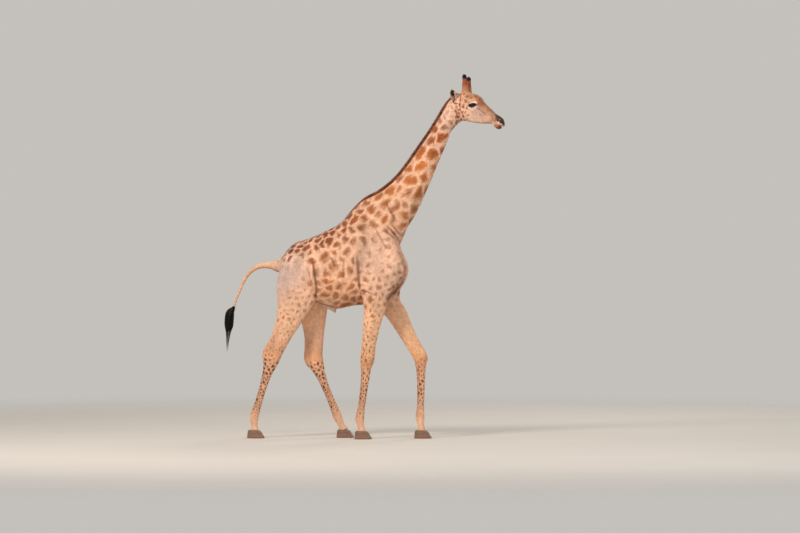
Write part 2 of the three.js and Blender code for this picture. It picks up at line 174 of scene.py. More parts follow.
SKULL = upright([
    (-42, 3985, -8, 3842, 52),
    (10, 4064, 34, 3760, 84, .02),  # poll and throat
    (80, 4082, 90, 3744, 104, -.02),  # cheek
    (160, 4080, 160, 3734, 112, -.08, 1.05),
    (238, 4068, 216, 3722, 117, -.2, 1.08),  # eyes
    (308, 4038, 280, 3712, 104, -.22, 1.08),  # brow
    (356, 3978, 345, 3706, 82, -.12, 1.06),
    (408, 3926, 408, 3704, 68, -.02, 1.05),  # bridge of the nose
    (462, 3880, 464, 3704, 61, 0, 1.05),
    (520, 3830, 512, 3696, 60, 0, 1.1),  # nostrils
    (576, 3798, 552, 3684, 57, 0, 1.14),
    (614, 3764, 590, 3678, 48, 0, 1.12),  # upper lip
    (638, 3698, 620, 3664, 25),
], soft=.035, dome=.006, lie=-1, on_head=True)

CHIN = upright([
    (470, 3754, 482, 3706, 26),
    (500, 3740, 504, 3676, 40, 0, 1.1),
    (542, 3716, 538, 3645, 45, 0, 1.15),
    (578, 3692, 570, 3640, 41, 0, 1.1),  # lower lip
    (603, 3672, 594, 3650, 23),
], soft=.012, dome=.006, lie=-1, on_head=True)

# Legs: joints from inside the body by way of elbow or stifle, knee or hock and fetlock to the
# pastern's end, and how thick they are: place along the joints, reach to the front, reach to the
# rear, half width.
JOINTS = {
    "foreleg_right": [(433, -160, 2089), (385, -178, 1640), (302, -166, 932), (208, -150, 236),
                      (228, -150, 88)],
    "foreleg_left": [(440, 160, 2089), (500, 178, 1600), (888, 166, 950), (878, 150, 246), (890, 150, 88)],
    "hindleg_right": [(-548, -112, 2089), (-556, -140, 1640), (-854, -150, 950), (-1060, -150, 254),
                      (-1062, -150, 88)],
    "hindleg_left": [(-520, 112, 2089), (-424, 140, 1640), (-396, 150, 908), (-114, 150, 250),
                     (-44, 150, 88)],
}
FOOT_SHAPE = [(3.2, 50, 58, 48), (3.6, 44, 44, 44), (4.05, 62, 54, 62)]
FORE_SHAPE = [
    (-.22, 110, 70, 40), (0, 225, 150, 84), (.35, 255, 182, 104), (.7, 238, 166, 104), (1, 172, 138, 92),
    (1.25, 134, 112, 78), (1.5, 101, 101, 68), (1.75, 84, 94, 61), (1.92, 84, 90, 62), (2.02, 82, 84, 64),
    (2.12, 62, 76, 56), (2.24, 56, 60, 45), (2.55, 50, 49, 39), (2.82, 46, 48, 39), (2.98, 54, 60, 49),
    *FOOT_SHAPE,
]
HIND_SHAPE = [
    (-.3, 90, 80, 40), (0, 178, 172, 84), (.4, 228, 232, 108), (.75, 244, 250, 116), (1, 214, 246, 112),
    (1.2, 182, 186, 100), (1.4, 156, 140, 85), (1.6, 130, 115, 71), (1.8, 113, 118, 60),
    (1.93, 106, 130, 56), (2.02, 106, 116, 56), (2.12, 90, 84, 53), (2.24, 68, 62, 45),
    (2.45, 51, 50, 38), (2.75, 47, 48, 38), (2.97, 54, 60, 49), *FOOT_SHAPE,
]
SHOULDER_DRAWN = {"foreleg_left": 80}  # the swung shoulder lies this much less far ahead of its bone


def along(joints, place):
    """Points at places along the joints, straight from each to the next and on past both ends."""
    joints = np.array(joints, float)
    k = np.clip(np.floor(place).astype(int), 0, len(joints) - 2)
    return joints[k] + (place - k)[:, None] * (joints[k + 1] - joints[k])


def leg(name):
    """A leg whose ovals stand square to the bone, measured forwards and back from it."""
    place, ahead, behind, half = np.array(FORE_SHAPE if name.startswith("fore") else HIND_SHAPE, float).T
    joints = JOINTS[name]
    down = unit((along(joints, place + .14) - along(joints, place - .14)) * [1, 0, 1])
    forward = np.c_[-down[:, 2], 0 * place, down[:, 0]]
    drawn = SHOULDER_DRAWN.get(name, 0) * held(4 * (1.1 - place))
    middle = along(joints, place)
    crest = middle + forward * (ahead - drawn)[:, None]
    made = mass(crest, middle - forward * behind[:, None], half, soft=.045)
    made["place"] = smooth_curve(place[:, None])[:, 0]
    return made


def limb(points, **more):
    """A round limb along points of x, z, half depth and half width, its ovals square to its own run."""
    x, z, deep, half = np.array(points, float).T
    run = unit(np.c_[np.gradient(x), np.gradient(z)])
    out = np.c_[run[:, 1], 0 * x, -run[:, 0]] * deep[:, None]
    middle = np.c_[x, 0 * x, z]
    return mass(middle + out, middle - out, half, **more)


TAIL = limb([
    (-690, 2058, 98, 54), (-800, 2032, 74, 44), (-890, 2040, 44, 32), (-985, 2040, 33, 27),
    (-1080, 2010, 28, 24), (-1165, 1940, 24, 22), (-1222, 1846, 20, 19), (-1276, 1722, 17, 16),
    (-1322, 1600, 15, 15), (-1340, 1535, 14, 14),
], soft=.05, coat=.002)

LEGS = {name: leg(name) for name in JOINTS}
MASSES = [TRUNK, NECK, SHEATH, *LEGS.values(), TAIL, SKULL, CHIN]
for column, one in enumerate(MASSES):
    one["column"] = column

# The head is drawn looking straight ahead, x counted from the poll, and is then turned and leant over.
POLL = np.array([1.322 - STRIDE, 0, 3.9])
YAW, ROLL = np.radians(-12), np.radians(-11)
TURN = np.array([[np.cos(YAW), -np.sin(YAW), 0], [np.sin(YAW), np.cos(YAW), 0], [0, 0, 1]])
TURN = TURN @ np.array([[1, 0, 0], [0, np.cos(ROLL), -np.sin(ROLL)], [0, np.sin(ROLL), np.cos(ROLL)]])
HEAD_LEVEL = np.array([0, 0, 3.9])


def to_head(points):
    """From the body's frame to the head's own."""
    return (points - POLL) @ TURN + HEAD_LEVEL


def from_head(points):
    """From the head's own frame to the body's."""
    return (points - HEAD_LEVEL) @ TURN.T + POLL


def locate(one, points):
    """Where points lie in a mass. Every section's plane holds the Y direction, so the place along the
    mass is where a point changes sides from one section's line to the next; `beyond` is how far past an
    end it is."""
    middle, arm = one["middle"][:, ::2], one["arm"][:, ::2]
    place, beyond = np.empty(len(points)), np.full(len(points), -1.0)
    for rows in np.array_split(np.arange(len(points)), len(points) // 20000 + 1):
        dx = points[rows, 0, None] - middle[:, 0]
        dz = points[rows, 2, None] - middle[:, 1]
        side = arm[:, 1] * dx - arm[:, 0] * dz
        far = dx**2 + dz**2
        crossing = np.where(side[:, :-1] * side[:, 1:] <= 0, far[:, :-1], np.inf)
        k, row = crossing.argmin(1), np.arange(len(rows))
        within = np.isfinite(crossing[row, k])
        before, after = side[row, k], side[row, k + 1]
        share = before / np.where(before == after, 1, before - after)
        end = np.where(far[:, 0] < far[:, -1], 0, far.shape[1] - 1)
        place[rows] = np.where(within, k + share, end)
        over = abs(side[row, end]) / np.hypot(*arm[end].T)
        last = abs(place[rows] - end) < STEPS
        beyond[rows] = np.where(within, np.where(last, -over, -1), over)
    k = np.minimum(place.astype(int), len(one["half"]) - 2)
    share = (place - k)[:, None]

    def at(values):
        return values[k] * (1 - share) + values[k + 1] * share

    middle, arm = at(one["middle"]), at(one["arm"])
    half, low, full = at(np.c_[one["half"], one["low"], one["full"]]).T
    reach = np.linalg.norm(arm, axis=1)
    rise = ((points - middle) * arm).sum(1) / reach**2
    wide = half * (1 - low * np.clip(rise, -1, 1))
    return {
        "place": place, "beyond": beyond, "rise": rise, "reach": reach, "wide": wide, "full": full,
        "side": (points[:, 1] - middle[:, 1]) / wide,
    }


def depth(one, points):
    """Rough distance outside a mass, negative inside. With u and v the shares of its height and width
    and n twice its squareness, it is ((u^n + v^n)^(1/n) - 1) over the length of its gradient, cut off
    softly at the ends."""
    spot = locate(one, points)
    shares = np.maximum(abs(np.c_[spot["rise"], spot["side"]]), 1e-3)
    n = 2 * spot["full"][:, None]
    total = (shares**n).sum(1, keepdims=True) ** (1 / n)
    slope = np.linalg.norm((shares / total) ** (n - 1) / np.c_[spot["reach"], spot["wide"]], axis=1)
    return -blend((1 - total[:, 0]) / slope, -spot["beyond"], one["dome"])


def blend(a, b, soft):
    """The lesser of a and b, rounded off within soft of where they are equal."""
    h = held(.5 + .5 * (b - a) / soft)
    return b + (a - b) * h - soft * h * (1 - h)


def near(points, least, most, margin):
    """Which points lie in a box, grown by a margin."""
    return ((points > np.subtract(least, margin)) & (points < np.add(most, margin))).all(1)


# The eyes stand out of the skull under lids, and the nostrils and the mouth are cut into the muzzle.
# Sizes of the openings are half lengths, in the head's own frame.
SIDES = {"right": -1, "left": 1}
EYE_RADIUS = .033
EYE_MIDDLE = np.array([.248, .097, 3.907])
LID = {"thick": .0055, "long": .0325, "upper": .011, "lower": .0195, "tilt": .17}
NOSTRIL = np.array([[.538, .052, 3.804], [.564, .055, 3.789], [.592, .046, 3.764]])
MOUTH = np.array([[.450, .050, 3.722], [.500, .053, 3.707], [.538, .053, 3.696], [.576, .046, 3.679],
                  [.602, .024, 3.666], [.609, 0, 3.663]])


def from_line(points, line):
    """Distance of points from a line of straight stretches, the least of the distances to the nearest
    point of each, and how far along the line that point is, 0 to 1."""
    nearest, place = np.full(len(points), np.inf), np.zeros(len(points))
    for k, (a, b) in enumerate(zip(line[:-1], line[1:])):
        share = held((points - a) @ (b - a) / ((b - a) @ (b - a)))
        away = np.linalg.norm(points - a - share[:, None] * (b - a), axis=1)
        place = np.where(away < nearest, (k + share) / (len(line) - 1), place)
        nearest = np.minimum(nearest, away)
    return nearest, place


def eye_axes(points):
    """Points by an eye, on its side's mirror image: forwards, upwards and outwards of the eye's
    middle."""
    away = points * [1, np.sign(points[:, 1]).mean() or 1, 1] - EYE_MIDDLE
    forwards = away[:, 0] * np.cos(LID["tilt"]) + away[:, 2] * np.sin(LID["tilt"])
    upwards = away[:, 2] * np.cos(LID["tilt"]) - away[:, 0] * np.sin(LID["tilt"])
    return forwards, upwards, away[:, 1]


HORN_ROOT = np.array([.138, .052, 4.020])
HORN_AXIS = np.array([-.10, .08, .992])
HORN_PROFILE = [(0, 46), (40, 44), (72, 41), (98, 37), (130, 33), (165, 29), (200, 25), (230, 24),
                (248, 21), (258, 15), (263, 5)]  # height over the root and radius, mm
EARS = {
    "left": {"root": (36, 78, 3990), "tip": (-14, 226, 4094), "front": (.85, -.1, .5)},
    "right": {"root": (15, -78, 3974), "tip": (3, -190, 4087), "front": (.62, -.6, -.5)},
}  # in the head's frame, mm; the last is the way the open side looks


def one_side(points):
    """The same points with the right side's laid over on the left: y made positive."""
    return np.c_[points[:, 0], abs(points[:, 1]), points[:, 2]]


def horn_feet(value, points):
    """Grows the hide up round the feet of the horns: a cone round each horn's axis, blended in widely."""
    away = one_side(points) - HORN_ROOT
    height = away @ HORN_AXIS
    radius = np.linalg.norm(away - height[:, None] * HORN_AXIS, axis=1)
    cone = np.interp(height, [0, .04, .07, .11], [.058, .047, .037, .024])
    return blend(value, np.maximum(radius - cone, abs(height) - .11), .035)


def ear_feet(value, points):
    """Grows the hide out round the roots of the ears: a round stub along the first sixth of each, 25 mm
    thick."""
    for side in SIDES:
        root, tip = np.array(EARS[side]["root"]) * MM, np.array(EARS[side]["tip"]) * MM
        stub = np.array([root - .3 * (tip - root), root + .1 * (tip - root)])
        value = blend(value, from_line(points, stub)[0] - .025, .03)
    return value


def face(value, points):
    """The face's openings: lids are a sphere round the eyeball with an almond cut through, nostrils and
    mouth are round grooves along their lines. In the head's frame, both sides as one."""
    mirrored = one_side(points)
    value = ear_feet(horn_feet(value, points), points)
    forwards, upwards, outwards = eye_axes(mirrored)
    ball = np.sqrt(forwards**2 + upwards**2 + outwards**2)
    value = blend(value, ball - EYE_RADIUS - LID["thick"], .03)
    high = np.where(upwards > 0, LID["upper"], LID["lower"])
    almond = (abs(upwards) / high + (forwards / LID["long"])**2 - 1) * high
    value = -blend(-value, np.maximum(almond, EYE_RADIUS - .005 - ball), .005)
    value = -blend(-value, from_line(mirrored, NOSTRIL)[0] - .0055, .006)
    return -blend(-value, from_line(mirrored, MOUTH)[0] - .004, .005)


def body(points):
    """The distance outside the hide: every mass in turn blended into those before it, then the face's
    details."""
    value = np.full(len(points), .2)
    headed = to_head(points)
    for one in MASSES:
        placed = headed if one["on_head"] else points
        rows = np.flatnonzero(near(placed, one["least"], one["most"], .05))
        found = depth(one, placed[rows]) + one["coat"]
        value[rows] = blend(value[rows], found, one["soft"])
    rows = np.flatnonzero(near(headed, [.02, -.2, 3.64], [.66, .2, 4.2], 0))
    value[rows] = face(value[rows], headed[rows])
    return value


CELL = .0181  # of the lattice that the hide is first found on, which reaches ROOM past the solids
ROOM = .03


def lattice_skin(least, most):
    """Surface net: a corner in each lattice cell that the surface crosses, at the mean of its crossings
    of the cell's edges, and a quad across every lattice edge whose ends lie on opposite sides."""
    axes = [np.arange(low, high + CELL, CELL) for low, high in zip(least, most)]
    grid = np.stack(np.meshgrid(*axes, indexing="ij"), -1)
    value = body(grid.reshape(-1, 3)).reshape(grid.shape[:3])
    shape = np.array(value.shape) - 1
    total, count = np.zeros((*shape, 3)), np.zeros(shape)
    quads = []
    number = np.full(shape, -1)
    for axis in range(3):
        a = np.moveaxis(value, axis, 0)
        first, last = a[:-1], a[1:]
        cut = np.moveaxis((first < 0) != (last < 0), 0, axis)
        share = np.moveaxis(first / np.where(first == last, 1, first - last), 0, axis)
        start = np.moveaxis(np.moveaxis(grid, axis, 0)[:-1], 0, axis)
        spot = start + share[..., None] * (np.eye(3)[axis] * CELL)
        others = [k for k in range(3) if k != axis]
        for shift in ((0, 0), (0, 1), (1, 0), (1, 1)):
            window = [slice(None)] * 3
            for k, s in zip(others, shift):
                window[k] = slice(s, s + shape[k])
            window = tuple(window)
            hit = cut[window]
            total += spot[window] * hit[..., None]
            count += hit
    cells = count > 0
    number[cells] = np.arange(cells.sum())
    corners = total[cells] / count[cells][:, None]
    for axis in range(3):
        a = np.moveaxis(value, axis, 0) < 0
        others = [k for k in range(3) if k != axis]
        where = np.stack(np.nonzero(np.moveaxis(a[:-1] != a[1:], 0, axis)), 1)
        where = where[(where[:, others] > 0).all(1) & (where[:, others] < shape[others]).all(1)]
        inside = value[tuple(where.T)] < 0
        ring = []
        for shift in ((1, 1), (0, 1), (0, 0), (1, 0)):
            cell = where.copy()
            cell[:, others] -= np.array(shift)
            ring.append(number[tuple(cell.T)])
        ring = np.stack(ring, 1)
        flip = inside if axis == 1 else ~inside
        quads.append(np.where(flip[:, None], ring[:, ::-1], ring))
    return corners, np.vstack(quads)


def settle(points, rounds=1):
    """Moves points onto the hide: each step is the value there against its slope, found by small
    differences."""
    nudge = .0007
    for _ in range(rounds):
        value = body(points)
        slope = np.stack([(body(points + nudge * axis) - value) / nudge for axis in np.eye(3)], 1)
        size = np.maximum((slope**2).sum(1), .1)
        points = points - (value / size).clip(-.01, .01)[:, None] * slope
    return points, slope / np.maximum(np.linalg.norm(slope, axis=1, keepdims=True), 1e-6)


def relaxed(points, faces, share):
    """Moves each point its share of the way to the mean of its neighbours along the sides of the
    faces."""
    there = faces >= 0
    start = faces[there]
    first = np.cumsum(there.sum(1)) - there.sum(1)
    end = np.roll(start, -1)
    end[first - 1] = start[np.roll(first, 1)]
    count = np.maximum(np.bincount(start, minlength=len(points)), 1)
    mean = np.stack([np.bincount(start, points[end, k], len(points)) for k in range(3)], 1) / count[:, None]
    return points + (mean - points) * share[:, None]


def halve(points, faces, chosen):
    """Splits chosen quads into four. A face is a row of eight: its four corners, each followed by a
    middle of the side after it or -1. Neighbours of the chosen quads take the new middles into their
    rows."""
    corners = faces[:, ::2]
    sides = np.sort(np.stack([corners, np.roll(corners, -1, 1)], -1).reshape(-1, 2), 1)
    code = sides[:, 0].astype(np.int64) * len(points) + sides[:, 1]
    unique, first, which = np.unique(code, return_index=True, return_inverse=True)
    which = which.reshape(len(faces), 4)
    split = np.zeros(len(unique), bool)
    split[which[chosen].ravel()] = True
    number = np.where(split, len(points) + np.cumsum(split) - 1, -1)
    middles = points[sides[first[split]]].mean(1)
    kept = faces[~chosen].copy()
    fresh = number[which[~chosen]]
    kept[:, 1::2] = np.where(fresh >= 0, fresh, kept[:, 1::2])
    quad, side = corners[chosen], number[which[chosen]]
    hub = len(points) + split.sum() + np.arange(len(quad))
    small = [np.stack([quad[:, k], side[:, k], hub, side[:, k - 1]], 1) for k in range(4)]
    small = np.vstack(small)
    rows = np.full((len(small), 8), -1)
    rows[:, ::2] = small
    return np.vstack([points, middles, points[quad].mean(1)]), np.vstack([kept, rows])


def make_object(name, points, faces):
    """A mesh object at the origin from points and faces; rows of faces may hold -1 where a corner is
    missing."""
    faces = np.asarray(faces)
    there = faces >= 0
    sizes = there.sum(1)
    mesh = bpy.data.meshes.new(name)
    mesh.vertices.add(len(points))
    mesh.vertices.foreach_set("co", np.asarray(points, np.float32).ravel())
    mesh.loops.add(int(sizes.sum()))
    mesh.loops.foreach_set("vertex_index", faces[there].astype(np.int32))
    mesh.polygons.add(len(faces))
    mesh.polygons.foreach_set("loop_start", (np.cumsum(sizes) - sizes).astype(np.int32))
    mesh.update(calc_edges=True)
    mesh.shade_smooth()
    made = bpy.data.objects.new(name, mesh)
    bpy.context.collection.objects.link(made)
    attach(made, "root")
    return made


points, quads = lattice_skin(np.array(solid_box[0]) - ROOM, np.array(solid_box[1]) + ROOM)
points, normals = settle(points)
faces = np.full((len(quads), 8), -1)
faces[:, ::2] = quads
FINE_BELOW, FINE_BEHIND = .95, -1.03  # legs, tail and head are drawn twice as finely, the face twice again


def by_head(points, start):
    """Which points lie by the head, from `start` ahead of the poll to past the lips."""
    return near(to_head(points), [start, -.3, 3.6], [.7, .3, 4.2], 0)


def centre_of(points, faces):
    """The mean of each quad's four corners."""
    return points[faces[:, ::2]].mean(1)


# Creases, where loose skin folds as the animal walks: lines of x and z on the right side (-1) or
# left side (1), with half width and depth in millimetres. The hide is drawn finely along them too,
# and its hair is painted darker along them: red dust and painted shade.
CREASES = [  # the flank's fold comes first
    (-1, [(-358, 2128), (-332, 2035), (-316, 1930), (-302, 1820), (-303, 1730), (-330, 1635)], 12, 17),
    (-1, [(-388, 1985), (-372, 1895), (-348, 1790)], 8, 8),
    (-1, [(-330, 1632), (-262, 1592), (-180, 1562), (-95, 1548)], 11, 12),  # above the sheath
    (-1, [(-130, 2150), (-92, 2085), (-58, 2020)], 11, 11),  # creases of the flank
    (-1, [(-60, 2110), (-30, 2000)], 10, 6),
    (-1, [(22, 2060), (36, 1975), (30, 1900)], 10, 6),
    (-1, [(190, 2172), (203, 2055), (210, 1930), (217, 1810), (216, 1730)], 13, 14),  # behind the shoulder
    (-1, [(150, 2150), (152, 2040)], 10, 6),
    (-1, [(222, 1735), (262, 1752), (330, 1728), (400, 1694)], 9, 8),  # above the elbow
    (-1, [(216, 1740), (232, 1690), (206, 1650)], 9, 9),
    (-1, [(396, 2484), (444, 2395), (492, 2310), (545, 2235)], 11, 8),  # wrinkles of the shoulder
    (-1, [(516, 2790), (564, 2684), (636, 2590)], 10, 8),
    (-1, [(528, 2519), (600, 2437), (662, 2342)], 10, 11),
    (-1, [(500, 2460), (576, 2400), (640, 2350)], 9, 8),
    (-1, [(585, 2530), (640, 2460), (690, 2385)], 9, 9),
    (-1, [(655, 2389), (666, 2290), (678, 2190), (716, 2085), (738, 2010), (722, 1920), (690, 1815)], 9, 8),
    (-1, [(722, 1920), (690, 1815), (625, 1750), (578, 1690), (552, 1600), (540, 1505)], 14, 18),  # armpit
    (-1, [(690, 1850), (620, 1796), (560, 1740)], 9, 8),
    (1, [(500, 2700), (600, 2500), (680, 2330)], 10, 8),
    (1, [(400, 1830), (330, 1740), (420, 1660)], 10, 8),
    (1, [(200, 2180), (210, 2030), (200, 1860)], 12, 9),
]


def bell(away, place, width, least):
    """exp(-(distance / width)^2) about a line, fading to `least` over the fifth of it at each end."""
    return np.exp(-(away / width)**2) * held(5 * np.minimum(place, 1 - place) + least)


def creased(points, half):
    """How near points lie to the creases: the greatest of depth * the bell across each line, the widths
    multiplied by `half`."""
    seen = np.c_[points[:, 0] + STRIDE, points[:, 2]]
    found = np.zeros(len(points))
    for side, line, width, deep in CREASES:
        line = np.array(line) * MM
        rows = np.flatnonzero(points[:, 1] * side > .04)
        rows = rows[near(seen[rows], line.min(0), line.max(0), .08)]
        ridge = bell(*from_line(seen[rows], line), half * width * MM, .1)
        found[rows] = np.maximum(found[rows], deep * MM * ridge)
    return found


middle = centre_of(points, faces)
chosen = by_head(middle, -.02) | (middle[:, 2] < FINE_BELOW)
chosen |= (middle[:, 0] < FINE_BEHIND) | (creased(middle, 2) > .0012) & (middle[:, 0] < .6)
points, faces = halve(points, faces, chosen)
points, normals = settle(points)
middle = centre_of(points, faces)
points, faces = halve(points, faces, by_head(middle, .03))
points, normals = settle(points)
middle = one_side(to_head(centre_of(points, faces)))
chosen = np.linalg.norm(middle - EYE_MIDDLE, axis=1) < .052
chosen |= (from_line(middle, NOSTRIL)[0] < .016) | (from_line(middle, MOUTH)[0] < .011)
points, faces = halve(points, faces, chosen)
placed = one_side(to_head(points))
by_lids = np.clip(2 - np.linalg.norm(placed - EYE_MIDDLE, axis=1) / .028, 0, .6)
for _ in range(4):
    points = relaxed(points, faces, by_lids)
    points, normals = settle(points)
points, normals = settle(points)


# What muscle and bone show through the hide: soft ridges and grooves along lines of x and z, each
# with its side (0 for both), its half width and its height, in millimetres.
FOLDS = [
    (0, [(330, 2640), (450, 2420), (560, 2190)], 40, 14),  # spine of the shoulder blade
    (0, [(225, 2600), (290, 2380), (225, 2150), (205, 1880)], 42, -15),  # hollow behind the shoulder
    (-1, [(585, 2810), (640, 2620), (715, 2420)], 16, 8),  # ropes of the neck
    (1, [(500, 2760), (590, 2560), (690, 2330)], 18, -9),
    (0, [(735, 2440), (850, 2750), (985, 3100), (1110, 3440), (1235, 3720)], 22, -8),  # windpipe's furrow
    (0, [(330, 2790), (560, 2920), (800, 3210), (1040, 3550), (1220, 3860)], 26, -6),
    (-1, [(235, 1900), (225, 1780), (262, 1690)], 26, 10),  # above the elbow
    (-1, [(-345, 2150), (-355, 1920), (-398, 1740), (-425, 1650)], 22, 15),  # front edge of the thigh
    (1, [(-250, 2120), (-230, 1920), (-215, 1740)], 20, -14),
    (1, [(-300, 2120), (-285, 1900)], 24, 10),
    (0, [(-375, 2290), (-350, 2262)], 55, 17),  # point of the hip
    (0, [(-440, 2230), (-540, 2040), (-600, 1850)], 46, -10),  # between the muscles of the thigh
    (-1, [(-655, 2060), (-668, 1860), (-655, 1640)], 34, -9),
    (0, [(560, 2160), (600, 2040), (560, 1900)], 55, 11),  # point of the shoulder
    (0, [(610, 1830), (640, 1740), (590, 1660)], 18, -14),  # fold of the brisket
]
# The same on the legs: which legs, place along the joints and its half width, degrees round from the
# front and their half width, height. Both sides of the leg are alike.
TENDONS = [
    ("leg", 2.58, .36, 115, 20, -5),  # between the cannon bone and the tendons behind it
    ("foreleg", 1.5, .3, 62, 18, -5),
    ("foreleg", 1.99, .08, 180, 40, 7),  # the small bone behind the knee
    ("foreleg", 1.92, .05, 35, 30, 3),
    ("foreleg", 2.1, .04, 35, 30, 3),
    ("hindleg", 1.76, .16, 118, 20, -12),  # ahead of the hamstring's cord
    ("hindleg", 2.02, .07, 80, 24, 4),
    ("leg", 3.02, .1, 150, 28, 4),  # back of the fetlock
    ("leg", 3.3, .07, 180, 60, -4),
]
# And on the head: place and half widths, height; both sides are alike.
FEATURES = [
    (258, 112, 3958, 44, 30, 13, 8),  # brow
    (305, 92, 3945, 24, 22, 13, 5),
    (190, 96, 4012, 34, 30, 32, -9),  # temple
    (215, 122, 3866, 62, 30, 12, 6),  # cheek bone
    (348, 84, 3900, 42, 26, 28, -5),
    (140, 112, 3825, 58, 30, 46, 6),  # jaw muscle
    (385, 66, 3800, 62, 26, 34, -7),
    (566, 50, 3790, 26, 12, 13, 5),  # nostril
    (585, 40, 3722, 24, 22, 18, 4),  # upper lip
    (60, 88, 3800, 24, 30, 50, -5),  # behind the jaw
]
RIBS = {"apart": .083, "height": .0016, "middle": (-.09, 2.02), "reach": (.26, .28)}


# Lines of the head, x and z in its own frame: the jaw's rear edge, the cheek's, below the eye and to
# the nostril. The hide is grooved a little along them and its hair darkened there: painted shade.
HEAD_LINES = [
    ([(36, 3890), (44, 3815), (62, 3755), (88, 3722), (120, 3716)], 8, 1),
    ([(-16, 3958), (22, 3934), (75, 3927)], 7, .9),
    ([(75, 4039), (99, 3986), (92, 3928), (104, 3851), (150, 3763)], 7, .9),
    ([(130, 3990), (172, 3950), (205, 3925)], 6, .8),
    ([(300, 3890), (352, 3850), (420, 3800)], 8, .5),
    ([(60, 3900), (66, 3830), (86, 3770)], 6, .5),
    ([(480, 3800), (500, 3760), (470, 3720)], 6, .5),
]


def lined(headed):
    """How near points of the head lie to its lines, 0 to 1, by the same bell."""
    found = np.zeros(len(headed))
    for line, width, strength in HEAD_LINES:
        ridge = bell(*from_line(headed[:, ::2], np.array(line) * MM), width * MM, .2)
        found = np.maximum(found, strength * ridge * (headed[:, 1] > .03))
    return found


def modelling(points, normals):
    """How far the hide is raised at each point: the sum over ridges of height * exp(-(distance /
    width)^2), ribs as a fading wave, and the legs' and head's own in their own coordinates."""
    raised = np.zeros(len(points))
    seen = np.c_[points[:, 0] + STRIDE, points[:, 2]]
    sideways = held((abs(normals[:, 1]) - .15) / .4)
    on_head = by_head(points, 0)
    for side, line, width, height in FOLDS:
        rows = np.flatnonzero((points[:, 1] * side >= 0) & ~on_head)
        away, place = from_line(seen[rows], np.array(line) * MM)
        ridge = np.exp(-(away / (width * MM))**2) * held(6 * place * (1 - place) + .15)
        raised[rows] += height * MM * ridge * sideways[rows]
    ribbed = (seen - RIBS["middle"]) / RIBS["reach"]
    slanted = seen[:, 0] + .22 * seen[:, 1] + .02 * np.sin(9 * seen[:, 0])
    wave = np.cos(2 * np.pi * slanted / RIBS["apart"])
    raised += RIBS["height"] * wave * np.exp(-(ribbed**2).sum(1) * 1.6) * sideways
    spine = np.exp(-(points[:, 1] / .026)**2) * held(normals[:, 2] * 2 - .8)
    raised += .005 * spine * (seen[:, 1] < 2.7) * (seen[:, 1] > 2.1)
    for name, one in LEGS.items():
        rows = np.flatnonzero(near(points, one["least"], one["most"], 0) & (points[:, 2] < 1.6))
        spot = locate(one, points[rows])
        place = np.interp(spot["place"], np.arange(len(one["place"])), one["place"])
        turn = np.degrees(abs(np.arctan2(spot["side"], spot["rise"])))
        close = held(2 - abs(depth(one, points[rows])) / .02)
        for kind, at, span, angle, spread, height in TENDONS:
            if kind in name:
                ridge = np.exp(-((place - at) / span)**2 - ((turn - angle) / spread)**2)
                raised[rows] += height * MM * ridge * close
    raised -= creased(points, 1) * sideways * ~on_head
    rows = np.flatnonzero(on_head)
    headed = one_side(to_head(points[rows]))
    raised[rows] -= .003 * lined(headed)
    for x, y, z, long, wide, high, height in FEATURES:
        away = (headed - np.array([x, y, z]) * MM) / (np.array([long, wide, high]) * MM)
        raised[rows] += height * MM * np.exp(-(away**2).sum(1))
    return raised


eye_clear = np.linalg.norm(to_head(points) * [1, 0, 1] + [0, .097, 0] - EYE_MIDDLE, axis=1)
lidded = held((eye_clear - .03) / .02)  # the lids keep their own shape
relief = modelling(points, normals) * lidded
points = points + normals * relief[:, None]
hide = make_object("hide", points, faces)
FLESH = ["head", "neck", "trunk", "tail"]
FLESH += [f"{name}_{part}" for name in JOINTS for part in ("upper", "lower")]
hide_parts(*FLESH)


# ---- Unwrap ----
# The hide is slit along its underside and laid out flat, each mass on its own strip: turn about it
# one way, length along it the other. Hair and markings follow the same strips.

def beside(points):
    """How deep points lie in each mass, one column a mass, with .3 for a mass too far off to matter."""
    headed = to_head(points)
    value = np.full((len(points), len(MASSES)), .3)
    for k, one in enumerate(MASSES):
        placed = headed if one["on_head"] else points
        rows = np.flatnonzero(near(placed, one["least"], one["most"], .08))
        value[rows, k] = depth(one, placed[rows])
    return value


STRIP_EDGE = .06  # bare page round each strip
PAGE_WIDE = 3.9
for one in MASSES:
    one["girth"] = 2 * np.pi * (np.linalg.norm(one["arm"], axis=1) + one["half"]).mean() / 2
x = y = shelf = 0
for one in sorted(MASSES, key=lambda one: -one["length"][-1]):
    wide, tall = one["girth"] + 2 * STRIP_EDGE, one["length"][-1] + 2 * STRIP_EDGE
    if x + wide > PAGE_WIDE:
        x, y, shelf = 0, y + shelf, 0
    one["strip"] = np.array([x, y]) + STRIP_EDGE
    x, shelf = x + wide, max(shelf, tall)
PAGE = max(PAGE_WIDE, y + shelf)


def unwrapped(one, points):
    """Metres along a mass's strip and the turn about it, -pi to pi from its upper side, for points on
    it."""
    placed = to_head(points) if one["on_head"] else points
    spot = locate(one, placed)
    past = np.where(spot["place"] > len(one["half"]) / 2, 1, -1) * np.maximum(spot["beyond"], 0)
    along_it = np.interp(spot["place"], np.arange(len(one["length"])), one["length"])
    return along_it + past.clip(-STRIP_EDGE, STRIP_EDGE), np.arctan2(spot["side"], spot["rise"])


def on_page(one, along_it, turn):
    """Places on the unwrap's page, 0 to 1, from metres along a strip and the turn about it."""
    across = (turn / (2 * np.pi) + .5) * one["girth"]
    return (one["strip"] + np.stack([across, along_it], -1)) / PAGE


def wrapped(turn):
    """The same turn brought to within half a circle either way."""
    return (turn + np.pi) % (2 * np.pi) - np.pi


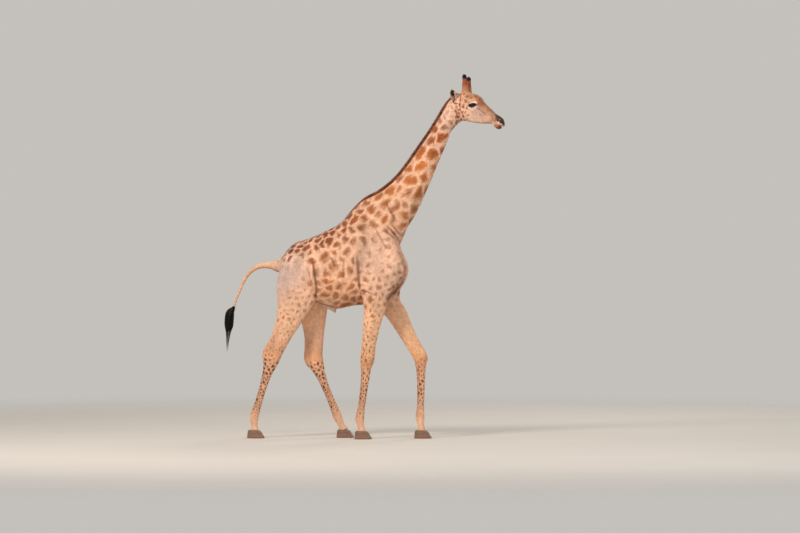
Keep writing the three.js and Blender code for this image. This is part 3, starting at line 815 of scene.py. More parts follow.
mesh = hide.data
corner_count = len(mesh.loops)
corner = np.empty(corner_count, np.int32)
mesh.loops.foreach_get("vertex_index", corner)
sizes = (faces >= 0).sum(1)
face_of = np.repeat(np.arange(len(faces)), sizes)
vertex_depths = beside(points)
owner = vertex_depths.argmin(1)[faces[:, 0]]
page = np.zeros((corner_count, 2))
for k, one in enumerate(MASSES):
    rows = np.flatnonzero(owner[face_of] == k)
    if len(rows):
        used, back = np.unique(corner[rows], return_inverse=True)
        along_it, turn = unwrapped(one, points[used])
        start = np.searchsorted(used, faces[face_of[rows], 0])
        near_first = turn[start] + wrapped(turn[back] - turn[start])
        page[rows] = on_page(one, along_it[back], near_first)
mesh.uv_layers.new(name="OFBake").data.foreach_set("uv", page.clip(0, 1).astype(np.float32).ravel())


# ---- Markings ----
# Cream hair with orange-brown patches in a pale net: broad on the neck, small and dark along the
# back, faint on the shoulder and thigh, shrinking to spots down the legs. Sizes in millimetres.

def linear(colour):
    """An sRGB hex colour as linear light: c / 12.92 up to 0.04045, and ((c + 0.055) / 1.055)^2.4
    above."""
    c = np.array([int(colour[k:k + 2], 16) for k in (0, 2, 4)]) / 255
    return np.where(c <= .04045, c / 12.92, ((c + .055) / 1.055)**2.4)


# x, z, reach, patch spacing, width of the pale lines, largest patch as a share of the spacing,
# strength of the patches, colour of patches and of the ground
BODY_ZONES = [
    (1235, 3800, 150, 78, 24, .75, .9, "96562e", "dfb8a0"),  # behind the jaw
    (1110, 3520, 190, 124, 17, 1, 1.4, "a0541f", "eabca0"),
    (930, 3200, 220, 152, 18, 1, 1.2, "b86c32", "eebf9e"),
    (680, 2820, 250, 154, 20, 1, 1.2, "b46a34", "ecbc9a"),  # foot of the neck
    (430, 2620, 200, 122, 23, .97, 1.1, "aa632e", "e4b694"),
    (190, 2680, 150, 100, 15, 1, 1.3, "91502a", "dcad8c"),  # withers
    (20, 2550, 120, 96, 9, 1, 2, "7e3e1e", "d8a98a"),  # along the back, a dark net
    (-130, 2430, 120, 92, 8, 1, 2.1, "783a1c", "d8a888"),
    (-290, 2360, 118, 88, 8, 1, 2.1, "783a1c", "d8aa8a"),
    (-450, 2300, 118, 84, 8, 1, 2.1, "7c3e20", "d8ac8e"),  # loin
    (-610, 2230, 105, 80, 8, 1, 2, "7e4222", "d8ae92"),
    (-700, 2120, 100, 66, 9, 1, 1.5, "804426", "dcb49a"),  # rump
    (-60, 2280, 110, 112, 17, 1, 1.4, "8c4a24", "deb090"),
    (-380, 2190, 100, 100, 24, .9, 1.05, "8e4c28", "deb396"),
    (110, 2300, 190, 128, 22, .98, 1.25, "96522a", "dfb292"),  # behind the shoulder
    (-180, 2080, 210, 118, 24, .94, 1.1, "a25e2c", "e2b696"),  # ribs
    (-80, 1760, 220, 114, 11, 1, 1.2, "ae6834", "eeba96"),  # belly
    (-190, 1560, 70, 60, 30, .3, 0, "d8b090", "f0d0b2"),  # sheath
    (400, 2190, 210, 104, 50, .62, .95, "7e4c36", "d6b09a"),  # shoulder
    (430, 1880, 170, 80, 27, .8, 1.05, "8e4e2a", "dab094"),  # arm
    (680, 2250, 160, 92, 34, .75, .8, "9a5c34", "dfb294"),  # breast
    (-550, 1960, 170, 96, 70, .45, .35, "8c7064", "d0b0a0"),  # thigh, nearly plain
    (-690, 1930, 120, 96, 70, .45, .3, "7c6a68", "c0a79e"),
    (-470, 1740, 150, 68, 21, .85, 1, "9c5a30", "dfb294"),  # stifle
]
# place down the leg, then as above; the ground is a little darker on the cannons: painted shade
LEG_ZONES = {
    "foreleg": [
        (.9, 78, 28, .75, .92, "ae7446", "e8b896"), (1.3, 58, 22, .64, 1.01, "a4683e", "ecbb96"),
        (1.7, 46, 17, .58, 1.12, "8c5432", "e8b68e"), (1.92, 34, 12, .64, 1.19, "7a482e", "dda97e"),
        (2.05, 44, 20, .55, .84, "8a5432", "cf9870"), (2.3, 38, 12, .66, 1.23, "6e4029", "dfac8a"),
        (2.75, 33, 10, .72, 1.29, "663a28", "dcaa8a"), (3.04, 30, 15, .5, .7, "744a32", "e3b494"),
        (3.3, 26, 20, .4, 0, "7a5236", "e9bc9c"), (4, 26, 20, .4, 0, "7a5236", "d9ae8e"),
    ],
    "hindleg": [
        (.9, 76, 38, .6, .77, "ae7a54", "e0b9a0"), (1.3, 58, 22, .66, 1.06, "9e6440", "e4b694"),
        (1.65, 48, 24, .5, 1.01, "8c5434", "e2b290"), (1.93, 42, 17, .55, .98, "7a482e", "d49d76"),
        (2.12, 48, 12, .82, 1.33, "603826", "dca886"), (2.45, 40, 10, .8, 1.33, "5a3424", "d9a684"),
        (2.8, 31, 9, .76, 1.29, "583424", "d9a686"), (3.04, 28, 14, .6, .7, "744a32", "e3b494"),
        (3.3, 26, 20, .4, 0, "7a5236", "e9bc9c"), (4, 26, 20, .4, 0, "7a5236", "d9ae8e"),
    ],
}
HEAD_ZONES = [  # x, y, z in the head's frame, reach, then as above
    (20, 60, 3930, 60, 42, 12, .85, .8, "94562e", "d9ae92"),
    (36, 84, 3800, 46, 50, 13, .9, 1, "824626", "d6aa8e"),  # behind the jaw
    (110, 100, 3830, 66, 58, 14, .95, 1.3, "783c1e", "d2a68a"),  # cheek
    (195, 100, 3780, 56, 48, 12, .9, 1.25, "84401e", "d8ac92"),
    (315, 80, 3800, 74, 50, 20, .7, .45, "946850", "c6a08e"),
    (450, 50, 3750, 60, 44, 20, .6, .3, "a07458", "d4a88a"),
    (250, 60, 3725, 70, 40, 30, .3, .1, "b08a68", "ecc8ac"),  # under the jaw
    (150, 90, 3950, 50, 52, 13, .9, 1, "864a2c", "d6aa8e"),
    (190, 80, 4020, 56, 52, 14, .85, .9, "7a4226", "c4906c"),  # temple
    (262, 96, 3962, 36, 46, 20, .6, .4, "8a5432", "cfa080"),
    (300, 60, 4030, 66, 44, 14, .85, 1.1, "6a3418", "a86a44"),  # forehead
    (360, 52, 3965, 52, 40, 14, .8, .8, "6a381c", "985c3c"),
    (395, 66, 3872, 36, 40, 16, .7, .4, "8a5432", "bc8866"),
    (450, 30, 3885, 44, 40, 20, .5, .3, "5e4030", "8e5a3c"),
    (470, 55, 3815, 32, 40, 20, .5, .3, "5e4030", "b08468"),
    (483, 60, 3790, 16, 40, 20, .5, .3, "5e4030", "80503a"),
    # next row: a pale band along the jaw's lower edge, a painted highlight
    (412, 52, 3714, 26, 40, 20, .5, .1, "5e4030", "f0ccb6"),  # edge of the jaw
]
# the muzzle, lips and chin have no patches: x, y, z, reach and the ground's colour
HEAD_ZONES += [(*place, 40, 30, .3, 0, "2e221c", ground) for *place, ground in [
    (505, 30, 3838, 30, "6e4632"), (548, 44, 3806, 24, "32180f"), (580, 36, 3788, 24, "30160f"),
    (608, 20, 3758, 22, "3a1c14"), (550, 58, 3764, 15, "4a2c20"), (588, 50, 3750, 10, "8a6a60"),
    (525, 58, 3735, 15, "7e4e38"), (500, 58, 3752, 20, "96705c"), (568, 54, 3738, 13, "3e2016"),
    (605, 42, 3722, 16, "38190f"), (628, 16, 3700, 15, "401e14"), (540, 56, 3712, 11, "d0a086"),
    (572, 52, 3700, 12, "f2cdb8"), (600, 40, 3684, 12, "f0c8b2"), (620, 18, 3668, 12, "d8a890"),
    # the chin, darker towards its underside and tip: painted shade below the lip
    (535, 44, 3666, 20, "a46c4c"), (568, 36, 3652, 18, "7c4830"), (592, 20, 3656, 14, "5a2c1c"),
]]
HEAD_ZONES += [
    (75, 20, 4090, 50, 40, 16, .7, .5, "6e4028", "98603c"),  # crown
    (140, 60, 4110, 40, 40, 20, .6, .2, "6a4226", "b47a50"),  # horns
    (120, 66, 4190, 50, 40, 20, .6, .2, "5a3420", "8e4620"),
]


def zoned(places, centres, reaches, values):
    """The mean of the zones' values, each weighted by exp(-(distance / reach)^2)."""
    away = np.linalg.norm(places[:, None] - centres[None], axis=2) / reaches
    weight = np.exp(-away**2) + 1e-5 / (1 + away**2)
    return weight @ values / weight.sum(1, keepdims=True)


def zone_values(row):
    """A zone's four numbers, in metres where they are sizes, and its two colours, as ten numbers."""
    spacing, gap, cover, strength, shade, ground = row
    return np.r_[spacing * MM, gap * MM, cover, strength, linear(shade), linear(ground)]


def zone_table(zones, count):
    """What zoned() takes: middles of `count` numbers and reaches, in metres, and each zone's ten
    values."""
    rows = np.array([row[:count + 1] for row in zones]) * MM
    return rows[:, :-1], rows[:, -1], np.array([zone_values(row[count + 1:]) for row in zones])


def coat_plan(points, normals):
    """Spacing, line width, cover, strength, patch colour and ground colour at each point of the hide."""
    depths = beside(points)
    headed = one_side(to_head(points))
    flat = np.c_[points[:, 0] + STRIDE, points[:, 2]]
    plan = zoned(flat, *zone_table(BODY_ZONES, 2))
    for name, one in LEGS.items():
        own = depths[:, one["column"]]
        mine = np.flatnonzero(own < depths.min(1) + .06)
        place = np.interp(locate(one, points[mine])["place"], np.arange(len(one["place"])), one["place"])
        zones = LEG_ZONES[name.split("_")[0]]
        table = np.array([zone_values(row[1:]) for row in zones])
        at = [row[0] for row in zones]
        down = np.stack([np.interp(place, at, table[:, k]) for k in range(table.shape[1])], 1)
        inner = held(-normals[mine, 1] * SIDES[name.split("_")[1]] * 1.6 - .2) * (place < 2)
        down[:, 3] *= 1 - .85 * inner
        rear = held(-normals[mine, 0] * 1.3) * (place > 2.15) * (place < 3)
        down[:, 2] += (1 - down[:, 2]) * .7 * rear
        down[:, 7:10] *= 1 - .25 * rear[:, None]
        deeper = (own[mine] - depths[mine].min(1)) / .05
        share = held((place - .8) / .45) * held(1 - deeper)
        plan[mine] += (down - plan[mine]) * share[:, None]
    tail = held(-(points[:, 0] + STRIDE + .76) / .1) * (points[:, 2] > 1.4)
    plan += (zone_values((50, 22, .6, .35, "a8754c", "deb190")) - plan) * tail[:, None]
    face_plan = zoned(headed, *zone_table(HEAD_ZONES, 3))
    share = held((headed[:, 0] + .03) / .07) * held((headed[:, 2] - 3.6) / .05)
    plan += (face_plan - plan) * share[:, None]
    return plan


def ripple(points, wave, seed):
    """Smooth noise, one vector a point: the sum of six sine waves of about the given length in random
    directions."""
    dice = np.random.default_rng(seed)
    ways = unit(dice.normal(size=(6, 3))) * (2 * np.pi / wave * dice.uniform(.7, 1.5, (6, 1)))
    size = dice.normal(size=(6, 3)) / 2.5
    return np.sin(points @ ways.T + dice.uniform(0, 6.3, 6)) @ size


def scattered(points, spacing, dice):
    """Rows of points so chosen that none lies nearer to one before it than that one's spacing."""
    waiting, chosen = dice.permutation(len(points)), []
    while len(waiting):
        row = waiting[0]
        chosen.append(row)
        waiting = waiting[((points[waiting] - points[row])**2).sum(1) > spacing[row]**2]
    return np.array(chosen)


def lie_of_coat(points, normals):
    """Unit vectors the way the hair lies: back along head, neck and trunk and down the legs and tail,
    the masses' own directions weighted by exp(-depth / 25 mm), a little downwards, and laid into the
    hide."""
    depths = beside(points)
    weight = np.exp(-(depths - depths.min(1, keepdims=True)) / .025)
    lie = np.zeros_like(points)
    headed = to_head(points)
    for k, one in enumerate(MASSES):
        rows = np.flatnonzero(weight[:, k] > .01)
        if len(rows):
            run = unit(np.gradient(one["middle"], axis=0)) * one["lie"]
            place = locate(one, headed[rows] if one["on_head"] else points[rows])["place"]
            way = np.stack([np.interp(place, np.arange(len(run)), run[:, j]) for j in range(3)], 1)
            lie[rows] += weight[rows, k, None] * (way @ TURN.T if one["on_head"] else way)
    lie = unit(lie) + [0, 0, -.22]
    return unit(lie - normals * (lie * normals).sum(1, keepdims=True))


UPRIGHT_GRAIN = np.array([-.22, 0, .97])


def patches(points, plan, lie):
    """Signed distance inside the edge of the nearest patch, and that patch's own shade. Distances are
    short along the grain: upright on the flanks, along the hair elsewhere. A patch is the part of the
    hide nearer to its seed than to any other, so its edge towards seed j lies (dj^2 - d1^2) / (2 |sj -
    s1|) away; a soft least of those rounds its corners, and half a pale line comes off all round."""
    dice = np.random.default_rng(11)
    spacing = plan[:, 0]
    chosen = scattered(points, spacing * dice.uniform(.68, 1.02, len(points)), dice)
    small = np.minimum(spacing, .05)[:, None]
    bent = points + ripple(points, .17, 1) * (.1 * spacing[:, None])
    bent = bent + ripple(points, .055, 2) * (.13 * small)
    flank = np.exp(-((points[:, 0] + STRIDE - .02) / .34)**4 - ((points[:, 2] - 2.18) / .3)**4)[:, None]
    grain = unit(lie + (UPRIGHT_GRAIN - lie) * flank)
    stretch = .34 + .3 * flank[:, 0]
    order = np.argsort(bent[:, 2])
    height = bent[order, 2]
    nearest, own = np.full(len(points), 9.0), np.zeros(len(points), int)

    def reached(row, reach):
        low, high = np.searchsorted(height, [bent[row, 2] - reach, bent[row, 2] + reach])
        rows = order[low:high]
        away = bent[rows] - bent[row]
        square = (away**2).sum(1) - stretch[row] * (away @ grain[row])**2
        close = square < reach**2
        return rows[close], square[close]

    for number, row in enumerate(chosen):
        rows, square = reached(row, 1.9 * spacing[row])
        closer = square < nearest[rows]
        nearest[rows[closer]], own[rows[closer]] = square[closer], number
    total = np.zeros(len(points))
    soft = .035 * spacing
    for number, row in enumerate(chosen):
        rows, square = reached(row, 2.4 * spacing[row])
        other = own[rows] != number
        rows, square = rows[other], square[other]
        apart = np.linalg.norm(bent[chosen[own[rows]]] - bent[row], axis=1)
        total[rows] += np.exp(-((square - nearest[rows]) / (2 * apart) / soft[rows]).clip(0, 30))
    inside = -soft * np.log(np.maximum(total, 1e-9)) - plan[:, 1] / 2
    luck = dice.random(len(chosen))[own]
    round_edge = plan[:, 2] * spacing * (.44 + .24 * plan[:, 2] + .4 * (luck - .4)) - np.sqrt(nearest)
    return np.minimum(inside, round_edge), dice.random(len(chosen))[own]


def set_values(made, values):
    """Values at the vertices of a piece, by name: one number each, or a colour of three."""
    for name, rows in values.items():
        rows = np.asarray(rows, np.float32)
        if rows.ndim == 1:
            made.data.attributes.new(name, "FLOAT", "POINT").data.foreach_set("value", rows)
        else:
            rgba = np.c_[rows, np.ones(len(rows), np.float32)].astype(np.float32)
            made.data.attributes.new(name, "FLOAT_COLOR", "POINT").data.foreach_set("color", rgba.ravel())


EYE_SKIN, EYE_RING = linear("140e0c"), linear("ecd6c4")


def eye_surround(points, plan):
    """Black bare skin round the lids, reaching forwards to the tear duct, inside a ring of pale hair."""
    headed = one_side(to_head(points))
    forwards, upwards, sideways = eye_axes(headed)
    beside_eye = (sideways > 0) & (headed[:, 0] > .1) & (headed[:, 0] < .4)
    socket = np.where(upwards > 0, .017 + .22 * forwards.clip(-.02, .05), .032)
    socket = abs(upwards) / socket + ((forwards - .006) / .055)**2
    dark = held((1.08 - socket) / .2) * beside_eye
    uneven = .1 * np.sin(3 * np.arctan2(upwards, forwards))
    pale = np.exp(-((socket - 1.5 - uneven) / .34)**2) * .8 * beside_eye
    tear = np.exp(-((upwards + .35 * (forwards - .03) + .004) / .005)**2)
    tear = tear * (forwards > .02) * (forwards < .06)
    dark = np.maximum(dark, tear * beside_eye * .8)
    plan[:, 7:10] += (EYE_RING - plan[:, 7:10]) * pale[:, None]
    plan[:, 7:10] += (EYE_SKIN - plan[:, 7:10]) * dark[:, None]
    plan[:, 3] *= 1 - np.maximum(dark, pale)
    return plan


MANE_ROOTS = [(1346, 4066), (1300, 4030), (1238, 3970), (1146, 3812), (1025, 3619), (904, 3447),
              (784, 3276), (663, 3118), (543, 3000), (410, 2902), (255, 2822), (150, 2740), (60, 2654),
              (0, 2590)]  # x, z
MANE_HAIR = {"root": linear("a4603a"), "tip": linear("84482c")}
MANE_LINE = smooth_curve(np.array(MANE_ROOTS)[:, [0, 0, 1]] * [1, 0, 1]) * MM - [STRIDE, 0, 0]


def on_line(points, line, half):
    """1 on a line, falling off to nothing as exp(-(distance / half)^4)."""
    return np.exp(-(from_line(points, line)[0] / half)**4)


plan = eye_surround(points, coat_plan(points, normals))
combed_up = on_line(points, MANE_LINE[::2], .024)[:, None]
plan[:, 7:10] += (MANE_HAIR["root"] - plan[:, 7:10]) * combed_up
plan[:, 3] *= 1 - combed_up[:, 0]
lie = lie_of_coat(points, normals)
mark, tone = patches(points, plan, lie)
# The nostrils and the mouth's slit are painted dark: bare dark skin, and painted shade inside the openings.
SLIT_SKIN_AND_SHADE = linear("241a16")
mirrored = one_side(to_head(points))
slit = np.maximum(on_line(mirrored, NOSTRIL, .0095), on_line(mirrored, MOUTH, .008))
plan[:, 7:10] += (SLIT_SKIN_AND_SHADE - plan[:, 7:10]) * slit[:, None].clip(0, 1)
by_mouth = from_line(mirrored - [.005, 0, 0], MOUTH)[0] < .013
by_eye = np.linalg.norm(mirrored - EYE_MIDDLE, axis=1) < .045
bare = np.maximum(slit, by_mouth | by_eye).clip(0, 1)
head_lines = lined(mirrored) * by_head(points, 0)
# Painted shade: the hair is darkened along the creases, where red dust also lies, and along the head's
# lines.
dust_and_painted_shading = np.maximum(np.clip(creased(points, 1.2) / .02, 0, .72) ** .85, head_lines)[:, None]
dust_and_painted_shading = 1 - dust_and_painted_shading * (1 - linear("ac7458"))  # creases hold red dust and shadow
# Painted light and shade: the hair is lightened where the hide is raised and darkened in its grooves.
dust_and_painted_shading = dust_and_painted_shading * (1 + .32 * np.clip(relief / .012, -.5, .3)[:, None])
shade = plan[:, 4:7] * (.66 + .46 * tone[:, None]) * dust_and_painted_shading
mark *= np.clip(.1 / plan[:, 0], .75, 3)  # the smaller the patches, the crisper their edges
HIDE_VALUES = {"mark": mark, "strength": plan[:, 3] * (.72 + .36 * tone), "shade": shade,
               "ground": plan[:, 7:10] * dust_and_painted_shading, "bare": bare}
set_values(hide, HIDE_VALUES)
HIDE_POINTS, HIDE_NORMALS, HIDE_LIE, HIDE_CORNER, HIDE_PAGE = points, normals, lie, corner, page.clip(0, 1)


def add_node(tree, kind, settings={}, **inputs):
    """Adds a shader node with its settings and fills its inputs, named with _ for a space or by number
    as i0, i1. A node or a socket is linked to the input and anything else is set on it; a node stands
    for its first output."""
    node = tree.nodes.new("ShaderNode" + kind)
    for key, value in settings.items():
        setattr(node, key, value)
    for key, value in inputs.items():
        socket = node.inputs[int(key[1:]) if key[1:].isdigit() else key.replace("_", " ")]
        if isinstance(value, bpy.types.Node):
            value = next(output for output in value.outputs if output.enabled)
        if isinstance(value, bpy.types.NodeSocket):
            tree.links.new(value, socket)
        else:
            socket.default_value = (*value, 1) if socket.type == "RGBA" else value
    return node


def new_material(name):
    """A node material without nodes, and its tree."""
    material = bpy.data.materials.new(name)
    material.use_nodes = True
    material.node_tree.nodes.clear()
    return material, material.node_tree


MIX = {"data_type": "RGBA"}
TINT = {"data_type": "RGBA", "blend_type": "MULTIPLY"}
ADD, TIMES, LENGTH = ({"operation": word} for word in ("ADD", "MULTIPLY", "LENGTH"))
SMOOTH = {"interpolation_type": "SMOOTHSTEP"}


def hide_material(name, page_size):
    """Giraffe hide: short hair in two colours. Patches meet the ground in a ragged edge of hairs a few
    millimetres wide; fine streaks run with the coat, 1.4 mm apart and 17 mm long on a page of page_size
    metres, and the skin under it is a little uneven. Dust of the road lies on the feet."""
    material, tree = new_material(name)
    place = add_node(tree, "TexCoord").outputs["Object"]
    page = add_node(tree, "UVMap", {"uv_map": "OFBake"})
    mark, strength, shade, ground = (
        add_node(tree, "Attribute", {"attribute_name": key}).outputs[kind]
        for key, kind in (("mark", "Fac"), ("strength", "Fac"), ("shade", "Color"), ("ground", "Color")))
    combed = add_node(tree, "Mapping", Vector=page, Scale=(page_size * 700, page_size * 60, 1))
    hairs = add_node(tree, "TexNoise", Vector=combed, Scale=1, Detail=2, Roughness=.6)
    ragged = add_node(tree, "TexNoise", Vector=place, Scale=70, Detail=3, Roughness=.65)
    clouds = add_node(tree, "TexNoise", Vector=place, Scale=2.6, Detail=3)
    wrinkles = add_node(tree, "TexNoise", Vector=place, Scale=38, Detail=4, Roughness=.6)
    blotches = add_node(tree, "TexNoise", Vector=place, Scale=17, Detail=3, Roughness=.6)
    frayed = add_node(tree, "MapRange", Value=ragged, To_Min=-.017, To_Max=.017)
    streaked = add_node(tree, "MapRange", Value=hairs, To_Min=-.006, To_Max=.006)
    inside = frayed
    for more in (streaked, mark):
        inside = add_node(tree, "Math", ADD, i0=inside, i1=more)
    edge = add_node(tree, "MapRange", SMOOTH, Value=inside, From_Min=-.008, From_Max=.012)
    faint = add_node(tree, "MapRange", Value=blotches, From_Min=.3, From_Max=.62, To_Min=.68, To_Max=1.06)
    heart = add_node(tree, "MapRange", SMOOTH, Value=inside, From_Max=.032, To_Min=.6, To_Max=1.12)
    patch = edge
    for share in (strength, faint, heart):
        patch = add_node(tree, "Math", TIMES, i0=patch, i1=share)
    colour = add_node(tree, "Mix", MIX, i0=patch, i6=ground, i7=shade)
    uneven = ((clouds, .9, 1.1), (hairs, .9, 1.13), (wrinkles, .86, 1.14), (blotches, .86, 1.14))
    for noise, least, most in uneven:
        light = add_node(tree, "MapRange", Value=noise, From_Min=.3, From_Max=.7, To_Min=least, To_Max=most)
        colour = add_node(tree, "Mix", TINT, i0=1, i6=colour, i7=light)
    height = add_node(tree, "SeparateXYZ", Vector=place).outputs["Z"]
    dusty = add_node(tree, "MapRange", Value=height, From_Min=.75, From_Max=.05, To_Max=.35)
    dust = add_node(tree, "Math", TIMES, i0=dusty, i1=ragged)
    colour = add_node(tree, "Mix", MIX, i0=dust, i6=colour, i7=linear("c08a64"))
    rough = add_node(tree, "MapRange", Value=wrinkles, From_Min=.3, From_Max=.7, To_Min=.66, To_Max=.84)
    uneven = add_node(tree, "Bump", Strength=.45, Distance=.012, Height=blotches)
    skin = add_node(tree, "Bump", Strength=.6, Distance=.007, Height=wrinkles, Normal=uneven)
    hair = add_node(tree, "Bump", Strength=.4, Distance=.0012, Height=hairs, Normal=skin)
    shader = add_node(tree, "BsdfPrincipled", Base_Color=colour, Roughness=rough, Normal=hair,
                      Sheen_Weight=.18, Sheen_Roughness=.5, Specular_IOR_Level=.3)
    add_node(tree, "OutputMaterial", Surface=shader)
    return material


hide.data.materials.append(hide_material("giraffe_hide", PAGE))
HIDE_HAIR = hide_material("giraffe_coat", PAGE)


# ---- Eyes ----
# Two dark glass balls with a brown iris and a long pupil lying level, set behind lids; each lid's
# edge is a bare black rim, and long stiff lashes stand out over the eye.

def closed_tube(rings):
    """Points and faces of a surface round rings of points, closed by a fan to the mean of its first and
    last."""
    rows, columns = rings.shape[:2]
    points = np.vstack([rings.reshape(-1, 3), rings[0].mean(0), rings[-1].mean(0)])
    k = np.arange(columns)
    after = (k + 1) % columns
    down = np.arange(rows - 1)[:, None] * columns
    walls = np.stack([down + k, down + columns + k, down + columns + after, down + after], -1)
    first = np.stack([np.full(columns, rows * columns), k, after, np.full(columns, -1)], 1)
    base = (rows - 1) * columns
    last = np.stack([np.full(columns, rows * columns + 1), base + after, base + k, np.full(columns, -1)], 1)
    return points, np.vstack([walls.reshape(-1, 4), first, last])


def turned_out(points, faces):
    """The same faces, turned over if the solid they enclose comes out negative: a sixth of the sum of
    the triple products of each face's corners."""
    a, b, c = points[faces[:, 0]], points[faces[:, 1]], points[faces[:, 2]]
    quad = faces[:, 3] >= 0
    d = points[faces[quad, 3]]
    volume = (a * np.cross(b, c)).sum() + (a[quad] * np.cross(c[quad], d)).sum()
    if volume >= 0:
        return faces
    turned = faces[:, ::-1].copy()
    return np.where(faces[:, 3:] >= 0, turned, np.roll(turned, -1, 1))


def eye_frame(sign):
    """The eye's middle and its axes forwards, upwards and outwards, in the body's frame."""
    tilt = LID["tilt"]
    axes = np.array([[np.cos(tilt), 0, np.sin(tilt)], [-np.sin(tilt), 0, np.cos(tilt)], [0, sign, 0]])
    return from_head((EYE_MIDDLE * [1, sign, 1])[None])[0], axes @ TURN.T


def eyeball(sign):
    """A ball whose clear front bulges: at angle t from its axis the radius is R + 1.5 mm * exp(-(t /
    0.5)^2)."""
    middle, (forwards, upwards, outwards) = eye_frame(sign)
    t = np.linspace(.03, np.pi - .03, 40)[:, None, None]
    turn = np.linspace(0, 2 * np.pi, 64, endpoint=False)[None, :, None]
    radius = EYE_RADIUS - .0012 + .0015 * np.exp(-(t / .5)**2)
    ring = np.cos(turn) * forwards + np.sin(turn) * upwards
    return closed_tube(middle + radius * (np.cos(t) * outwards + np.sin(t) * ring))


def lid_line(turn):
    """Points of the almond opening's edge in the eye's axes, at turns from its front corner: it lies on
    the ball."""
    high = np.where(np.sin(turn) > 0, LID["upper"], -LID["lower"])
    ahead, up = LID["long"] * np.cos(turn), high * np.sin(turn)**2
    ball = EYE_RADIUS + .001
    return np.stack([ahead, up, np.sqrt(ball**2 - ahead**2 - up**2)], -1)


def lid_rim(sign):
    """A tube round the almond's edge: 4.2 mm thick along the ball and 3.2 mm across it, thicker at both
    corners."""
    middle, axes = eye_frame(sign)
    turn = np.linspace(0, 2 * np.pi, 97)[:-1]
    line = lid_line(turn)
    out = unit(line)
    side = np.cross(unit(np.roll(line, -1, 0) - np.roll(line, 1, 0)), out)
    around = np.linspace(0, 2 * np.pi, 13)[:-1]
    thick = (.0042 + .0014 * np.cos(turn)**4)[:, None, None]
    tube = side[:, None] * np.cos(around)[:, None] * thick + out[:, None] * np.sin(around)[:, None] * .0032
    points = middle + (line[:, None] * 1.05 + tube) @ axes
    count, k = 96, np.arange(12)
    down, below = np.arange(count)[:, None] * 12, (np.arange(count)[:, None] + 1) % count * 12
    faces = np.stack([down + k, below + k, below + (k + 1) % 12, down + (k + 1) % 12], -1).reshape(-1, 4)
    return points.reshape(-1, 3), faces


def eye_material():
    """Cornea over a dark eye: clear and wet, so it mirrors; under it a brown iris, deepened nearly to
    black as painted shade of the lashes, streaked outwards, round a black pupil 17 mm long and 9 mm
    high that lies level, in a nearly black ball. `seen` is metres from the eye's axis."""
    material, tree = new_material("wet_eye")
    seen = add_node(tree, "Attribute", {"attribute_name": "seen"}).outputs["Vector"]
    flat = add_node(tree, "VectorMath", TIMES, i0=seen, i1=(1, 1.9, 0))
    pupil = add_node(tree, "VectorMath", LENGTH, i0=flat).outputs["Value"]
    round_out = add_node(tree, "VectorMath", LENGTH, i0=seen).outputs["Value"]
    fibres = add_node(tree, "TexNoise", Vector=seen, Scale=420, Detail=3)
    # the iris's brown, deepened nearly to black: a dark brown iris with painted shade of the lashes
    brown = add_node(tree, "Mix", MIX, i0=fibres, i6=linear("150c07"), i7=linear("2e1a0e"))
    open_pupil = add_node(tree, "MapRange", Value=pupil, From_Min=.0078, From_Max=.0094)
    iris = add_node(tree, "Mix", MIX, i0=open_pupil, i6=linear("050404"), i7=brown)
    rim = add_node(tree, "MapRange", Value=round_out, From_Min=.0165, From_Max=.0195)
    colour = add_node(tree, "Mix", MIX, i0=rim, i6=iris, i7=linear("0c0908"))
    shader = add_node(tree, "BsdfPrincipled", Base_Color=colour, Roughness=.12, IOR=1.33,
                      Specular_IOR_Level=.3, Coat_Weight=.1, Coat_Roughness=.03)
    add_node(tree, "OutputMaterial", Surface=shader)
    return material


def bare_skin_material():
    """Bare black skin at the edge of the lids: moist, finely pored every 1.5 mm."""
    material, tree = new_material("bare_lid_skin")
    place = add_node(tree, "TexCoord").outputs["Object"]
    pores = add_node(tree, "TexNoise", Vector=place, Scale=650, Detail=2)
    colour = add_node(tree, "Mix", MIX, i0=pores, i6=linear("0f0b0a"), i7=linear("2c211d"))
    bump = add_node(tree, "Bump", Strength=.3, Distance=.0005, Height=pores)
    rough = add_node(tree, "MapRange", Value=pores, To_Min=.3, To_Max=.5)
    shader = add_node(tree, "BsdfPrincipled", Base_Color=colour, Roughness=rough, Normal=bump)
    add_node(tree, "OutputMaterial", Surface=shader)
    return material


WET_EYE, LID_SKIN = eye_material(), bare_skin_material()
for side, sign in SIDES.items():
    points, faces = eyeball(sign)
    ball = make_object(f"eyeball_{side}", points, turned_out(points, faces))
    middle, axes = eye_frame(sign)
    set_values(ball, {"seen": ((points - middle) @ axes.T) * [1, 1, 0]})
    ball.data.materials.append(WET_EYE)
    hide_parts(f"eye_{side}")
    points, faces = lid_rim(sign)
    rim = make_object(f"lid_rim_{side}", points, turned_out(points, faces))
    rim.data.materials.append(LID_SKIN)


# ---- Ears ----
# Each ear is a cupped leaf of gristle under short hair, dark and bare inside, set low on the back of
# the skull.

EAR = {"width": .041, "cup": .024, "wall": .0065, "rings": 48, "around": 22}


def ear_axes(side):
    """The ear's root, its axis to the tip, and unit vectors across it and out of its open side, head's
    frame."""
    root, tip = np.array(EARS[side]["root"]) * MM, np.array(EARS[side]["tip"]) * MM
    axis = tip - root
    across = unit(np.cross(axis, EARS[side]["front"]))
    return root, axis, across, unit(np.cross(across, axis))


def ear_leaf(t):
    """Breadth of the leaf at t of its length, and its taper: narrow at the root and rounded to a tip."""
    tip = np.sqrt(np.maximum(.004, 1 - t**3.2))
    return (.42 + .58 * np.sin(np.pi * np.minimum(1, .2 + .62 * t))) * tip, tip


